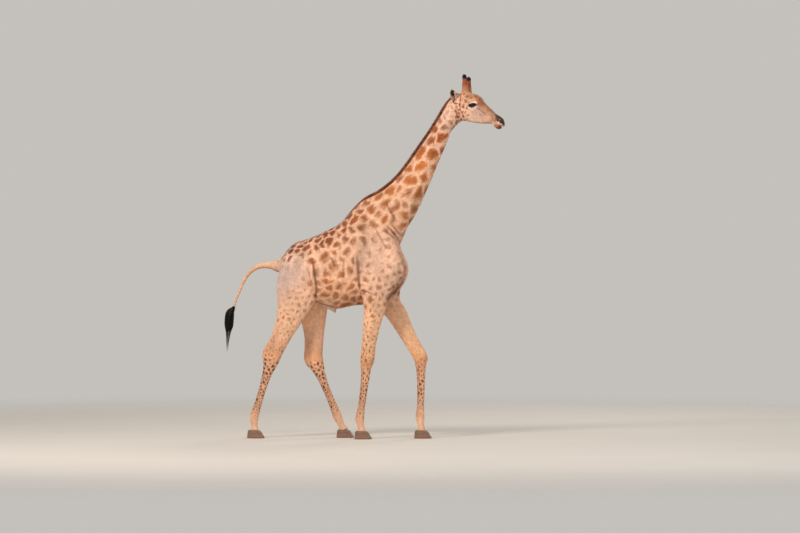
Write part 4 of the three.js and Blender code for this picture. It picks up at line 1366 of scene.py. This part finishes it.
def ear(side):
    """Rings of a crescent: out round the back as half an oval and back through the hollow as a
    shallower one, the two meeting in a rounded edge; the tip leans forwards by 12 mm."""
    root, axis, across, opening = ear_axes(side)
    t = np.r_[-.22, -.1, np.linspace(0, 1, EAR["rings"])][:, None]
    breadth, tip = ear_leaf(np.maximum(t, 0))
    half = np.linspace(-np.pi / 2, np.pi / 2, EAR["around"])
    turn = np.r_[half, half[::-1]]
    back = np.r_[np.ones(EAR["around"]), np.zeros(EAR["around"])]
    cup = EAR["cup"] * breadth
    wall = EAR["wall"] * (1 - .45 * np.maximum(t, 0)) * np.maximum(.3, tip)
    deep = cup + wall * (back - .25) * (.35 + .65 * np.cos(turn))
    wide = EAR["width"] * breadth * (1 + .02 * np.sin(9 * t)) * np.sin(turn) * (1 - .03 * (1 - back))
    lean = .012 * np.maximum(t, 0)**2
    out = cup / 2 - deep * np.cos(turn) + lean
    rings = root + t[..., None] * axis + wide[..., None] * across + out[..., None] * opening
    return closed_tube(from_head(rings.reshape(-1, 3)).reshape(rings.shape))


def grid_page(rows, columns):
    """A page for rings closed by two fans: turn across it and ring number up it, the two middles at its
    ends."""
    across, up = np.meshgrid(np.linspace(.02, .98, columns), np.linspace(.02, .98, rows))
    return np.vstack([np.stack([across, up], -1).reshape(-1, 2), [[.5, .01], [.5, .99]]])


def lay_page(made, page):
    """Gives a piece its OFBake map from a place on the page for each vertex."""
    corner = np.empty(len(made.data.loops), np.int32)
    made.data.loops.foreach_get("vertex_index", corner)
    made.data.uv_layers.new(name="OFBake").data.foreach_set("uv", page[corner].astype(np.float32).ravel())


def plain_hide(made, page, ground, material):
    """Hair in one colour a vertex, with no patches: what the hide's material reads, and the page it
    lies on."""
    none = np.zeros(len(ground))
    set_values(made, {"mark": none - 1, "strength": none, "shade": ground, "ground": ground})
    lay_page(made, page)
    made.data.materials.append(material)


EAR_HIDE = hide_material("ear_hide", .2)
EAR_COLOURS = {"back": "b98e70", "hollow": "2a1c17", "edge": "d9bfac", "root": "b08c78"}
EAR_COLOURS = {where: linear(colour) for where, colour in EAR_COLOURS.items()}
for side in SIDES:
    points, faces = ear(side)
    leaf = make_object(f"ear_shell_{side}", points, turned_out(points, faces))
    rows, columns = EAR["rings"] + 2, 2 * EAR["around"]
    t = np.r_[-.22, -.1, np.linspace(0, 1, EAR["rings"])]
    half = np.linspace(-1, 1, EAR["around"])
    hollow = np.r_[0 * half, held((.8 - abs(half)) / .2)] * held((.92 - t[:, None]) / .12)
    brim = np.r_[held((abs(half) - .76) / .16), held((abs(half) - .7) / .16)]
    brim = brim * np.ones((rows, 1))
    ground = EAR_COLOURS["back"] + (EAR_COLOURS["edge"] - EAR_COLOURS["back"]) * brim[..., None]
    low = held((.42 - t) / .25)[:, None, None]
    inner = EAR_COLOURS["hollow"] + (EAR_COLOURS["root"] - EAR_COLOURS["hollow"]) * low
    ground = ground + (inner - ground) * hollow[..., None]
    ground = np.vstack([ground.reshape(-1, 3), [EAR_COLOURS["back"]] * 2])
    plain_hide(leaf, grid_page(rows, columns), ground, EAR_HIDE)
    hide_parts(f"ear_{side}")


# ---- Horns ----
# Two ossicones: cores of bone in hairy skin, wide at the foot and ending in a knob under a cap of
# black hair.

HORN_SIDES = 40
HORN_AHEAD = np.array([1, 0, .06])
HORN_ASIDE = np.cross(HORN_AXIS, HORN_AHEAD)


def horn(sign):
    """A lathe about a leaning axis: radius by height along the profile, with slight knobbles of 1.5 %
    round it."""
    height, radius = smooth_curve(np.array(HORN_PROFILE)).T * MM
    turn = np.linspace(0, 2 * np.pi, HORN_SIDES, endpoint=False)
    lumps = 1 + .015 * np.sin(3 * turn + 40 * height[:, None])
    lumps = lumps + .012 * np.sin(5 * turn - 90 * height[:, None])
    ring = np.cos(turn)[:, None] * HORN_AHEAD + np.sin(turn)[:, None] * HORN_ASIDE
    rings = HORN_ROOT + height[:, None, None] * HORN_AXIS + (radius[:, None] * lumps)[..., None] * ring
    return closed_tube(from_head((rings * [1, sign, 1]).reshape(-1, 3)).reshape(rings.shape))


HORN_HIDE = hide_material("horn_hide", .25)
BLACK_CAP = linear("17110e")
for side, sign in SIDES.items():
    points, faces = horn(sign)
    core = make_object(f"horn_{side}", points, turned_out(points, faces))
    headed = to_head(points) * [1, sign, 1]
    height = (headed - HORN_ROOT) @ HORN_AXIS
    ground = coat_plan(points, points * 0)[:, 7:10]
    cap = held((height + ripple(headed, .03, 5)[:, 0] * .006 - .202) / .028)[:, None]
    ground += (BLACK_CAP - ground) * cap
    plain_hide(core, grid_page(len(points) // HORN_SIDES, HORN_SIDES), ground, HORN_HIDE)
    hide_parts(f"ossicone_{side}")


# ---- Hooves ----
# Each foot stands on two claws of horn, flat below, ringed by growth and worn at the toe.

HOOF = {"height": .095, "length": .200, "width": .084, "cleft": .007, "forward": .018}
# height, length and width as shares of the hoof's, and how far back it lies in mm
CLAW_LEVELS = [(0, .955, .935, 0), (.03, .985, .97, 0), (.14, 1, 1, 0), (.4, .9, .965, 7),
               (.7, .8, .92, 14), (.9, .7, .84, 20), (1, .6, .72, 24)]


def claw(pastern, away):
    """Ovals from the sole up, leaning back: round outside with the sine raised to 0.62, nearly straight
    along the cleft. Growth rings raise the wall by 0.6 mm in uneven waves."""
    height, long, wide, back = smooth_curve(np.array(CLAW_LEVELS) * [1, 1, 1, .001]).T[:, :, None]
    turn = np.linspace(0, np.pi, 33)
    inner = np.linspace(-1, 1, 14)[1:-1]
    ahead = np.r_[np.cos(turn), inner] * HOOF["length"] / 2 * long
    outer = np.r_[np.sin(turn)**.62, .03 * (inner**2 - 1)] * HOOF["width"] * wide
    rings = .0006 * np.sin(70 * height**.8 + 2 * np.sin(9 * height)) * (height > .05) * (height < .97)
    grown = 1 + rings / .05
    x = pastern[0] + HOOF["forward"] - back + ahead * grown
    y = pastern[1] + away * (outer * grown + HOOF["cleft"] / 2)
    z = np.broadcast_to(height * (HOOF["height"] - .0004), x.shape)
    return closed_tube(np.stack([x, y, z], -1))


def horn_wall_material():
    """Hoof horn: hard grey-brown keratin, streaked downwards by its fibres, ringed every 7 mm by
    growth, dull with dust of red earth that is thickest at the ground."""
    material, tree = new_material("hoof_horn")
    place = add_node(tree, "TexCoord").outputs["Object"]
    drawn = add_node(tree, "Mapping", Vector=place, Scale=(260, 260, 16))
    fibres = add_node(tree, "TexNoise", Vector=drawn, Scale=1, Detail=3)
    ringed = add_node(tree, "Mapping", Vector=place, Scale=(4, 4, 140))
    rings = add_node(tree, "TexNoise", Vector=ringed, Scale=1, Detail=2)
    chipped = add_node(tree, "TexNoise", Vector=place, Scale=90, Detail=4)
    colour = add_node(tree, "Mix", MIX, i0=fibres, i6=linear("4b3d33"), i7=linear("7d6a5a"))
    banded = add_node(tree, "MapRange", Value=rings, From_Min=.3, From_Max=.7, To_Min=.82, To_Max=1.12)
    colour = add_node(tree, "Mix", TINT, i0=1, i6=colour, i7=banded)
    height = add_node(tree, "SeparateXYZ", Vector=place).outputs["Z"]
    low = add_node(tree, "MapRange", Value=height, From_Min=.085, From_Max=.0, To_Min=.25, To_Max=1)
    dust = add_node(tree, "Math", TIMES, i0=low, i1=chipped)
    colour = add_node(tree, "Mix", MIX, i0=dust, i6=colour, i7=linear("b0785a"))
    height = add_node(tree, "Math", ADD, i0=rings, i1=fibres)
    bump = add_node(tree, "Bump", Strength=.35, Distance=.0012, Height=height)
    rough = add_node(tree, "MapRange", Value=chipped, To_Min=.42, To_Max=.72)
    shader = add_node(tree, "BsdfPrincipled", Base_Color=colour, Roughness=rough, Normal=bump)
    add_node(tree, "OutputMaterial", Surface=shader)
    return material


HOOF_HORN = horn_wall_material()
for foot in ("fore", "hind"):
    for side, sign in SIDES.items():
        pastern = np.array(JOINTS[f"{foot}leg_{side}"][-1]) * MM - [STRIDE, 0, 0]
        for where, away in {"outer": sign, "inner": -sign}.items():
            points, faces = claw(pastern, away)
            name = f"{foot}_{side}_{where}"
            made = make_object(f"claw_{name}", points, turned_out(points, faces))
            made.data.materials.append(HOOF_HORN)
            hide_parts(f"hoof_{name}")


# ---- Coat ----
# Short hair over the whole hide, lying flat: to the rear on head, neck and trunk, down on the legs,
# where it is shortest. It is longest and stands out most where it hangs, under belly and throat.

PATCH = .003  # of the page that each hair's own piece of it takes up


def strands(line, across, width, page):
    """Flat tapering hairs: each is a ribbon along its own line of points, as wide as given at all of
    them but the last, where it ends in a point, and lies on a small patch of the page at its root's
    place."""
    count, rows = line.shape[:2]
    half = across * (np.asarray(width) / 2)[..., None]
    edges = np.stack([line - half, line + half], 2)[:, :-1].reshape(count, -1, 3)
    points = np.concatenate([edges, line[:, -1:]], 1)
    each = 2 * rows - 1
    k = 2 * np.arange(rows - 2)
    pattern = np.vstack([np.stack([k, k + 1, k + 3, k + 2], -1), [[each - 3, each - 2, each - 1, -1]]])
    faces = np.where(pattern < 0, -1, np.arange(count)[:, None, None] * each + pattern).reshape(-1, 4)
    t = np.linspace(0, 1, rows)
    patch = np.vstack([np.stack([np.tile([0, 1], rows - 1), np.repeat(t[:-1], 2)], -1), [[.5, 1]]])
    page = (page[:, None] + PATCH * (patch - .5)).clip(0, 1)
    return points.reshape(-1, 3), faces, page.reshape(-1, 2)


def make_hair(name, made, values, material):
    """A piece of hair from what strands() gives, with values one for each hair, and how far along it a
    point is."""
    points, faces, page = made
    piece = make_object(name, points, faces)
    each = len(points) // len(next(iter(values.values())))
    set_values(piece, {key: np.repeat(rows, each, 0) for key, rows in values.items()})
    along_hair = np.r_[np.repeat(np.arange((each - 1) // 2), 2) * 2 / (each - 1), 1]
    set_values(piece, {"along": np.tile(along_hair, len(points) // each)})
    lay_page(piece, page)
    piece.data.materials.append(material)
    return piece


mesh = hide.data
mesh.calc_loop_triangles()
TRIANGLE_CORNERS = np.empty((len(mesh.loop_triangles), 3), np.int32)
mesh.loop_triangles.foreach_get("loops", TRIANGLE_CORNERS.ravel())
triangle_face = np.empty(len(mesh.loop_triangles), np.int32)
mesh.loop_triangles.foreach_get("polygon_index", triangle_face)
TRIANGLE_POINTS = HIDE_CORNER[TRIANGLE_CORNERS]
TRIANGLE_OWNER = owner[triangle_face]
a, b, c = (HIDE_POINTS[TRIANGLE_POINTS[:, k]] for k in range(3))
TRIANGLE_AREA = np.linalg.norm(np.cross(b - a, c - a), axis=1) / 2
rng = np.random.default_rng(4)


def roots(count, weight):
    """Places on the hide, drawn in proportion to area times weight, with the hide's values at each: the
    sum of a triangle's corners' values times shares a, b and 1 - a - b."""
    chance = TRIANGLE_AREA * weight
    row = rng.choice(len(chance), count, p=chance / chance.sum())
    share = rng.random((count, 2))
    share = np.where(share.sum(1, keepdims=True) > 1, 1 - share, share)
    share = np.c_[share, 1 - share.sum(1)][..., None]

    def mean(values, rows):
        return (np.reshape(values, (len(values), -1))[rows] * share).sum(1)

    rows = TRIANGLE_POINTS[row]
    found = {name: mean(values, rows) for name, values in HIDE_VALUES.items()}
    found.update(mark=found["mark"][:, 0], strength=found["strength"][:, 0], point=mean(HIDE_POINTS, rows),
                 normal=unit(mean(HIDE_NORMALS, rows)), lie=unit(mean(HIDE_LIE, rows)),
                 page=mean(HIDE_PAGE, TRIANGLE_CORNERS[row]))
    return found


# name, masses, number of hairs, their length and width in mm
COATS = [
    ("coat_head", [SKULL, CHIN], 50000, 7, 1.5),
    ("coat_neck", [NECK], 58000, 15, 2.4),
    ("coat_trunk", [TRUNK, SHEATH], 62000, 17, 2.8),
    ("coat_forelegs", [LEGS["foreleg_right"], LEGS["foreleg_left"]], 62000, 13, 2.2),
    ("coat_hindlegs", [LEGS["hindleg_right"], LEGS["hindleg_left"]], 62000, 13, 2.2),
    ("coat_tail", [TAIL], 9000, 13, 1.8),
]


def coat_hair(masses, count, length, width):
    """Hairs bend back along the lie: at t of its length a hair lies at root + lie * t * length, raised by
    rise * length * t * (1.5 - t). Each strays from the lie by some 9 degrees."""
    under = HIDE_NORMALS[:, 2] < -.55
    face_under = under[TRIANGLE_POINTS].all(1)
    mine = np.isin(TRIANGLE_OWNER, [one["column"] for one in masses])
    bare = HIDE_VALUES["bare"][TRIANGLE_POINTS].mean(1)
    at = roots(count, mine * (1 + .8 * face_under) * (1 - bare))
    point, normal, lie = at["point"], at["normal"], at["lie"]
    side = np.cross(normal, lie)
    low = held(1.15 - point[:, 2] / 1.1)
    long = length * MM * (1 - .45 * low) * rng.uniform(.6, 1.25, count)
    hanging = np.clip(-normal[:, 2] - .35, 0, .6) * (point[:, 2] > 1.3)
    long *= 1 + .9 * hanging
    rise = rng.uniform(.06, .2, count) + .35 * hanging
    way = unit(lie + side * rng.normal(0, .16, (count, 1)))
    t = np.array([0, .5, 1])[None, :, None]
    line = point[:, None] - normal[:, None] * .0008 + way[:, None] * t * long[:, None, None]
    line = line + normal[:, None] * (long * rise)[:, None, None] * t * (1.5 - t)
    across = unit(np.cross(normal + side * rng.normal(0, .25, (count, 1)), way))[:, None]
    wide = width * MM * (1 - .35 * low) * rng.uniform(.7, 1.2, count)
    values = {key: at[key] for key in ("mark", "strength", "shade", "ground")}
    tone = rng.normal(1, .06, (count, 1))
    values.update(shade=values["shade"] * tone, ground=values["ground"] * tone)
    return strands(line, across, wide[:, None] * np.array([1, .8, 0]), at["page"]), values


for name, masses, count, length, width in COATS:
    made, values = coat_hair(masses, count, length, width)
    make_hair(name, made, values, HIDE_HAIR)


# ---- Stiff hair ----
# Black lashes, black brushes on the horns' knobs, pale fringes on the ears' brims and a few whiskers
# on the lips.

def hair_material(name, root, tip, rough=.42):
    """Coarse straight hair, each one its own shade: from its colour at the root to that at the tip."""
    material, tree = new_material(name)
    along_hair = add_node(tree, "Attribute", {"attribute_name": "along"}).outputs["Fac"]
    tone = add_node(tree, "Attribute", {"attribute_name": "tone"}).outputs["Fac"]
    colour = add_node(tree, "Mix", MIX, i0=along_hair, i6=root, i7=tip)
    light = add_node(tree, "MapRange", {"clamp": False}, Value=tone, To_Min=.7, To_Max=1.35)
    colour = add_node(tree, "Mix", TINT, i0=1, i6=colour, i7=light)
    place = add_node(tree, "TexCoord").outputs["Object"]
    fine = add_node(tree, "TexNoise", Vector=place, Scale=300, Detail=1)
    roughness = add_node(tree, "MapRange", Value=fine, To_Min=rough - .08, To_Max=rough + .12)
    shader = add_node(tree, "BsdfPrincipled", Base_Color=colour, Roughness=roughness, Specular_IOR_Level=.4)
    add_node(tree, "OutputMaterial", Surface=shader)
    return material


def spray(root, way, bend, length, width, rows, page):
    """Stiff hairs: at t of its length a hair lies at root + length * (way * t + bend * t^2), its width
    falling as 1 - t^2; each is turned about its own line at random."""
    count = len(root)
    t = np.linspace(0, 1, rows)[None, :, None]
    long = np.reshape(length, (-1, 1, 1))
    line = root[:, None] + long * (way[:, None] * t + bend[:, None] * t**2)
    across = unit(np.cross(way, rng.normal(size=(count, 3))))[:, None]
    return strands(line, across, np.reshape(width, (-1, 1)) * (1 - t[..., 0]**2), page)


BLACK_HAIR = hair_material("black_hair", linear("15100e"), linear("0c0908"))
PALE_HAIR = hair_material("pale_ear_hair", linear("d2b4a2"), linear("ecd6c6"))
# rows of lashes: how many, first and last turn round the lids, length in metres and sweep, up or down
LASHES = [(110, .1, np.pi - .1, .030, 1), (60, np.pi + .3, 2 * np.pi - .3, .013, -.6)]
BRUSH = {"hairs": 1500, "foot": .206, "tall": .052}
FRINGE = {"hairs": 1900, "reach": .62, "longest": .034}


def lashes(sign):
    """Lashes stand just outside the lids' edge, longest at its middle, and bend back against their
    sweep."""
    middle, axes = eye_frame(sign)
    parts = []
    for count, first, last, length, sweep in LASHES:
        turn = np.linspace(first, last, count) + rng.normal(0, .02, count)
        line = lid_line(turn)
        way = unit(line) * .8 + np.stack([.5 * np.cos(turn), np.full(count, .35 * sweep), 0 * turn], 1)
        way += rng.normal(0, .09, way.shape)
        bend = np.tile([0, -.75 * sweep, -.1], (count, 1)) + rng.normal(0, .08, way.shape)
        long = length * (.7 + .3 * np.sin(turn)**2) * rng.uniform(.8, 1.1, count)
        parts.append([line * 1.09, way, bend, long])
    root, way, bend, long = (np.concatenate([part[k] for part in parts]) for k in range(4))
    return spray(middle + root @ axes, way @ axes, bend @ axes, long, .0013, 5, .5 + root[:, :2])


def horn_brush(sign):
    """Short hairs over the last fifth of a horn, standing up and outwards and closing over its top."""
    count = BRUSH["hairs"]
    height = BRUSH["foot"] + BRUSH["tall"] * rng.random(count)**.7
    around = rng.uniform(0, 2 * np.pi, count)
    profile = smooth_curve(np.array(HORN_PROFILE)) * MM
    radius = np.interp(height, profile[:, 0], profile[:, 1])
    outward = np.cos(around)[:, None] * HORN_AHEAD + np.sin(around)[:, None] * HORN_ASIDE
    top = held((height - .243) / .015)[:, None]
    root = HORN_ROOT + height[:, None] * HORN_AXIS + outward * (radius - .001)[:, None] * (1 - .4 * top)
    way = outward * (.3 - .1 * top) + HORN_AXIS * (.85 + .3 * top) + rng.normal(0, .11, (count, 3))
    page = np.stack([around / (2 * np.pi), height / .26], 1)
    flip = np.array([1, sign, 1])
    bend = -.12 * (outward * flip) @ TURN.T
    return spray(from_head(root * flip), (unit(way) * flip) @ TURN.T, bend,
                 rng.uniform(.008, .013, count), .0021, 3, page)


def ear_fringe(side):
    """Pale hairs along the brim of an ear, most of them on its front edge, shorter towards the tip."""
    count = FRINGE["hairs"]
    root, axis, across, opening = ear_axes(side)
    t = FRINGE["reach"] * rng.beta(1.3, 1.5, count)
    edge = np.where(rng.random(count) < .12, -1, 1)
    breadth, _ = ear_leaf(t)
    aside = EAR["width"] * breadth * edge * rng.uniform(.86, .99, count)
    place = root + t[:, None] * axis + aside[:, None] * across
    place = place + (EAR["cup"] * breadth / 2 + .012 * t**2 - .002)[:, None] * opening
    way = unit(axis) * .7 - across * (edge * .8)[:, None] + opening * .2 + rng.normal(0, .18, (count, 3))
    bend = np.tile(-.25 * opening @ TURN.T, (count, 1))
    long = rng.uniform(.014, FRINGE["longest"], count) * (1 - .4 * t)
    page = np.stack([.5 + .4 * edge * breadth, t], 1)
    return spray(from_head(place), unit(way) @ TURN.T, bend, long, .0015, 4, page)


for side, sign in SIDES.items():
    made = lashes(sign)
    tone = rng.random(sum(row[0] for row in LASHES))
    make_hair(f"lashes_{side}", made, {"tone": tone}, BLACK_HAIR)
    made = horn_brush(sign)
    make_hair(f"horn_brush_{side}", made, {"tone": rng.random(BRUSH["hairs"])}, BLACK_HAIR)
    made = ear_fringe(side)
    make_hair(f"ear_fringe_{side}", made, {"tone": rng.random(FRINGE["hairs"])}, PALE_HAIR)

WHISKERS = 90
placed = to_head(HIDE_POINTS[TRIANGLE_POINTS].mean(1))
lips = (placed[:, 0] > .5) & (placed[:, 2] < 3.76)
at = roots(WHISKERS, lips * 1.0)
way = unit(at["normal"] + .5 * at["lie"] + rng.normal(0, .2, (WHISKERS, 3)))
made = spray(at["point"], way, at["lie"] * .3, rng.uniform(.010, .022, WHISKERS), .0008, 4, at["page"])
make_hair("whiskers", made, {"tone": rng.random(WHISKERS)}, BLACK_HAIR)


# ---- Mane ----
# A low stiff brush of upright hair from between the ears to the withers, thousands of thin blades in
# a comb.

MANE = {"height": .041, "hairs": 15000, "spread": .009}


def mane_hair():
    """Blades stand square to the neck's crest, leaning a little to the rear, and shorten at both ends."""
    count = MANE["hairs"]
    run = unit(np.gradient(MANE_LINE, axis=0))
    travelled = np.r_[0, np.cumsum(np.linalg.norm(np.diff(MANE_LINE, axis=0), axis=1))]
    t = rng.random(count)
    at = t * travelled[-1]
    root = np.stack([np.interp(at, travelled, MANE_LINE[:, k]) for k in range(3)], 1)
    run = unit(np.stack([np.interp(at, travelled, run[:, k]) for k in range(3)], 1))
    out = np.c_[run[:, 2], 0 * t, -run[:, 0]]
    swell = np.minimum(1, np.minimum(.45 + 4 * t, .25 + 4 * (1 - t)))
    aside = rng.normal(0, .45, count).clip(-1, 1)
    root[:, 1] += aside * MANE["spread"]
    root -= out * (.012 + .006 * abs(aside))[:, None]
    lean = run * rng.normal(.12, .12, count)[:, None]
    lean[:, 1] = aside * .16 + rng.normal(0, .05, count)
    length = (MANE["height"] * swell + .012) * rng.uniform(.72, .99, count)
    page = on_page(NECK, .1 + 1.7 * (1 - t), aside * .15)
    return spray(root, unit(out + lean), run * .06, length, rng.uniform(.002, .0042, count), 4, page)


made = mane_hair()
MANE_BRUSH = hair_material("mane_hair", MANE_HAIR["root"], MANE_HAIR["tip"], .5)
feet = made[0][::len(made[0]) // MANE["hairs"]]
dark_band = ripple(feet, .15, 21)[:, 0] > .2  # the patches of the neck go on through it
mane_tone = rng.random(MANE["hairs"]) - .55 * dark_band
mane = make_hair("mane_hair", made, {"tone": mane_tone}, MANE_BRUSH)
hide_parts("mane")


# ---- Tail tuft ----
# The tail ends in a switch of long black hair, full below the tail's end and thinning to a few long
# strands.

TUFT = [(-1336, 1552, 14, 14), (-1352, 1522, 26, 24), (-1384, 1478, 51, 46), (-1396, 1400, 57, 50),
        (-1400, 1320, 54, 46), (-1406, 1256, 34, 28), (-1416, 1140, 17, 15), (-1424, 985, 9, 8)]
TUFT_HAIRS = 4200


def tuft_line():
    """The tuft's line as x, z, half depth and half width, in metres."""
    rows = np.array(TUFT, float)
    line, half = smooth_curve(rows[:, :3]) * MM, smooth_curve(rows[:, [0, 1, 3]])[:, 2] * MM
    return line[:, 0] - STRIDE, line[:, 1], line[:, 2], half


def tuft_hair():
    """Strands follow the tuft's line. Each keeps its share of the tuft's width and its turn about the
    line, which drifts a little, and ends somewhere past the middle."""
    x, z, deep, half = tuft_line()
    count, steps = TUFT_HAIRS, 9
    lasting = rng.random(count) < .06
    last = np.where(lasting, rng.uniform(.74, 1, count), .46 + .28 * rng.beta(2.4, 1.5, count))
    first = rng.uniform(0, .1, count) * rng.random(count)
    t = first[:, None] + (last - first)[:, None] * np.linspace(0, 1, steps)
    place = np.linspace(0, 1, len(x))
    middle = np.stack([np.interp(t, place, x), 0 * t, np.interp(t, place, z)], -1)
    run = unit(np.stack([np.gradient(x), 0 * x, np.gradient(z)], 1))
    run = np.stack([np.interp(t, place, run[:, k]) for k in range(3)], -1)
    out = np.stack([run[..., 2], 0 * t, -run[..., 0]], -1)
    turn = rng.uniform(0, 2 * np.pi, count)[:, None] + rng.normal(0, .5, count)[:, None] * t
    turn = turn + .25 * np.sin(rng.uniform(0, 6, count)[:, None] + 7 * t)
    share = np.sqrt(rng.uniform(.02, .92, count))[:, None]
    reach = out * (np.cos(turn) * np.interp(t, place, deep) * share)[..., None]
    reach = reach + np.array([0, 1., 0]) * (np.sin(turn) * np.interp(t, place, half) * share)[..., None]
    line = middle + reach
    way = unit(np.gradient(line, axis=1))
    across = unit(np.cross(way, unit(rng.normal(size=(count, 1, 3)))))
    width = rng.uniform(.0016, .0032, count)[:, None] * (1 - .8 * np.linspace(0, 1, steps)**2)
    return strands(line, across, width, on_page(TAIL, TAIL["length"][-1] + 0 * first, turn[:, 0] - np.pi))


switch = make_hair("tail_switch", tuft_hair(), {"tone": rng.random(TUFT_HAIRS)},
                   hair_material("tail_switch_hair", linear("1a1310"), linear("0d0a09")))
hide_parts("tail_tuft")


# ---- Floor, light and camera ----
# A pale studio floor that melts into a backdrop of its own colour, one broad soft light from above
# and behind the animal's right side, weaker ones ahead and beyond it, and a long lens far away.

FLOOR_REACH = 30


def floor_material():
    """Matt pale paint, a little uneven, and clear far out, so that no edge shows against the backdrop."""
    material, tree = new_material("studio_floor")
    place = add_node(tree, "TexCoord").outputs["Object"]
    uneven = add_node(tree, "TexNoise", Vector=place, Scale=.7, Detail=3)
    colour = add_node(tree, "Mix", MIX, i0=uneven, i6=linear("c6c3be"), i7=linear("cecbc6"))
    paint = add_node(tree, "BsdfPrincipled", Base_Color=colour, Roughness=.7, Specular_IOR_Level=.2)
    away = add_node(tree, "VectorMath", LENGTH, i0=place).outputs["Value"]
    far = add_node(tree, "MapRange", SMOOTH, Value=away, From_Min=5, From_Max=13)
    clear = add_node(tree, "BsdfTransparent")
    both = add_node(tree, "MixShader", i0=far, i1=paint, i2=clear)
    add_node(tree, "OutputMaterial", Surface=both)
    return material


floor_mesh = bpy.data.meshes.new("floor")
corners = [(x * FLOOR_REACH, y * FLOOR_REACH, 0) for x, y in ((-1, -1), (1, -1), (1, 1), (-1, 1))]
floor_mesh.from_pydata(corners, [], [(0, 1, 2, 3)])
floor = bpy.data.objects.new("floor", floor_mesh)
bpy.context.collection.objects.link(floor)
floor_mesh.materials.append(floor_material())
floor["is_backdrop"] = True

world = bpy.data.worlds.new("backdrop")
world.use_nodes = True
bpy.context.scene.world = world
bpy.context.scene.view_settings.view_transform = "Standard"  # colours come out as they were mixed
world.node_tree.nodes["Background"].inputs["Color"].default_value = (*linear("e3dfd9"), 1)
world.node_tree.nodes["Background"].inputs["Strength"].default_value = .72

AIM = np.array([.07, .07, 2.0])


def turned_to(direction):
    """Euler angles that turn an object's -Z along a direction, its Y as near upright as it goes."""
    x, y, z = direction / np.linalg.norm(direction)
    return np.arccos(-z), 0, np.arctan2(-x, y)


# where each light stands from AIM, its size in metres, power in watts and colour
LIGHTS = {
    "key": ((-3.6, -7.2, 6.4), 2.2, 730, "fff0e6"),
    "fill": ((7.5, -5.5, 2.5), 5, 130, "f8f2f0"),
    "rim": ((3, 8, 6), 4, 350, "fff4e8"),
}
for name, (stand, size, power, colour) in LIGHTS.items():
    lamp = bpy.data.lights.new(name, "AREA")
    lamp.size, lamp.energy, lamp.color = size, power, linear(colour)
    light = bpy.data.objects.new(name, lamp)
    light.location = AIM + stand
    light.rotation_euler = turned_to(-np.array(stand))
    bpy.context.collection.objects.link(light)

# the camera looks from AZIMUTH round from the animal's right, and sees VIEW["width"] metres across at
# the animal
AZIMUTH, ELEVATION = np.radians(10), np.radians(1)
VIEW = {"distance": 60, "width": 9.44, "ahead": .411, "height": 2.03}
SENSOR = 36
level = np.array([np.cos(AZIMUTH), np.sin(AZIMUTH)])
target = np.array([*VIEW["ahead"] * level, VIEW["height"]])
forward = np.array([-level[1] * np.cos(ELEVATION), level[0] * np.cos(ELEVATION), -np.sin(ELEVATION)])
camera_data = bpy.data.cameras.new("camera")
camera_data.sensor_width = SENSOR
camera_data.lens = SENSOR * VIEW["distance"] / VIEW["width"]
camera_data.clip_end = 200
camera = bpy.data.objects.new("camera", camera_data)
camera.location = target - forward * VIEW["distance"]
camera.rotation_euler = turned_to(forward)
bpy.context.collection.objects.link(camera)
bpy.context.scene.camera = camera

sizes = {"cad": [list(c) for c in solid_box], "visual": [list(c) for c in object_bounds()]}
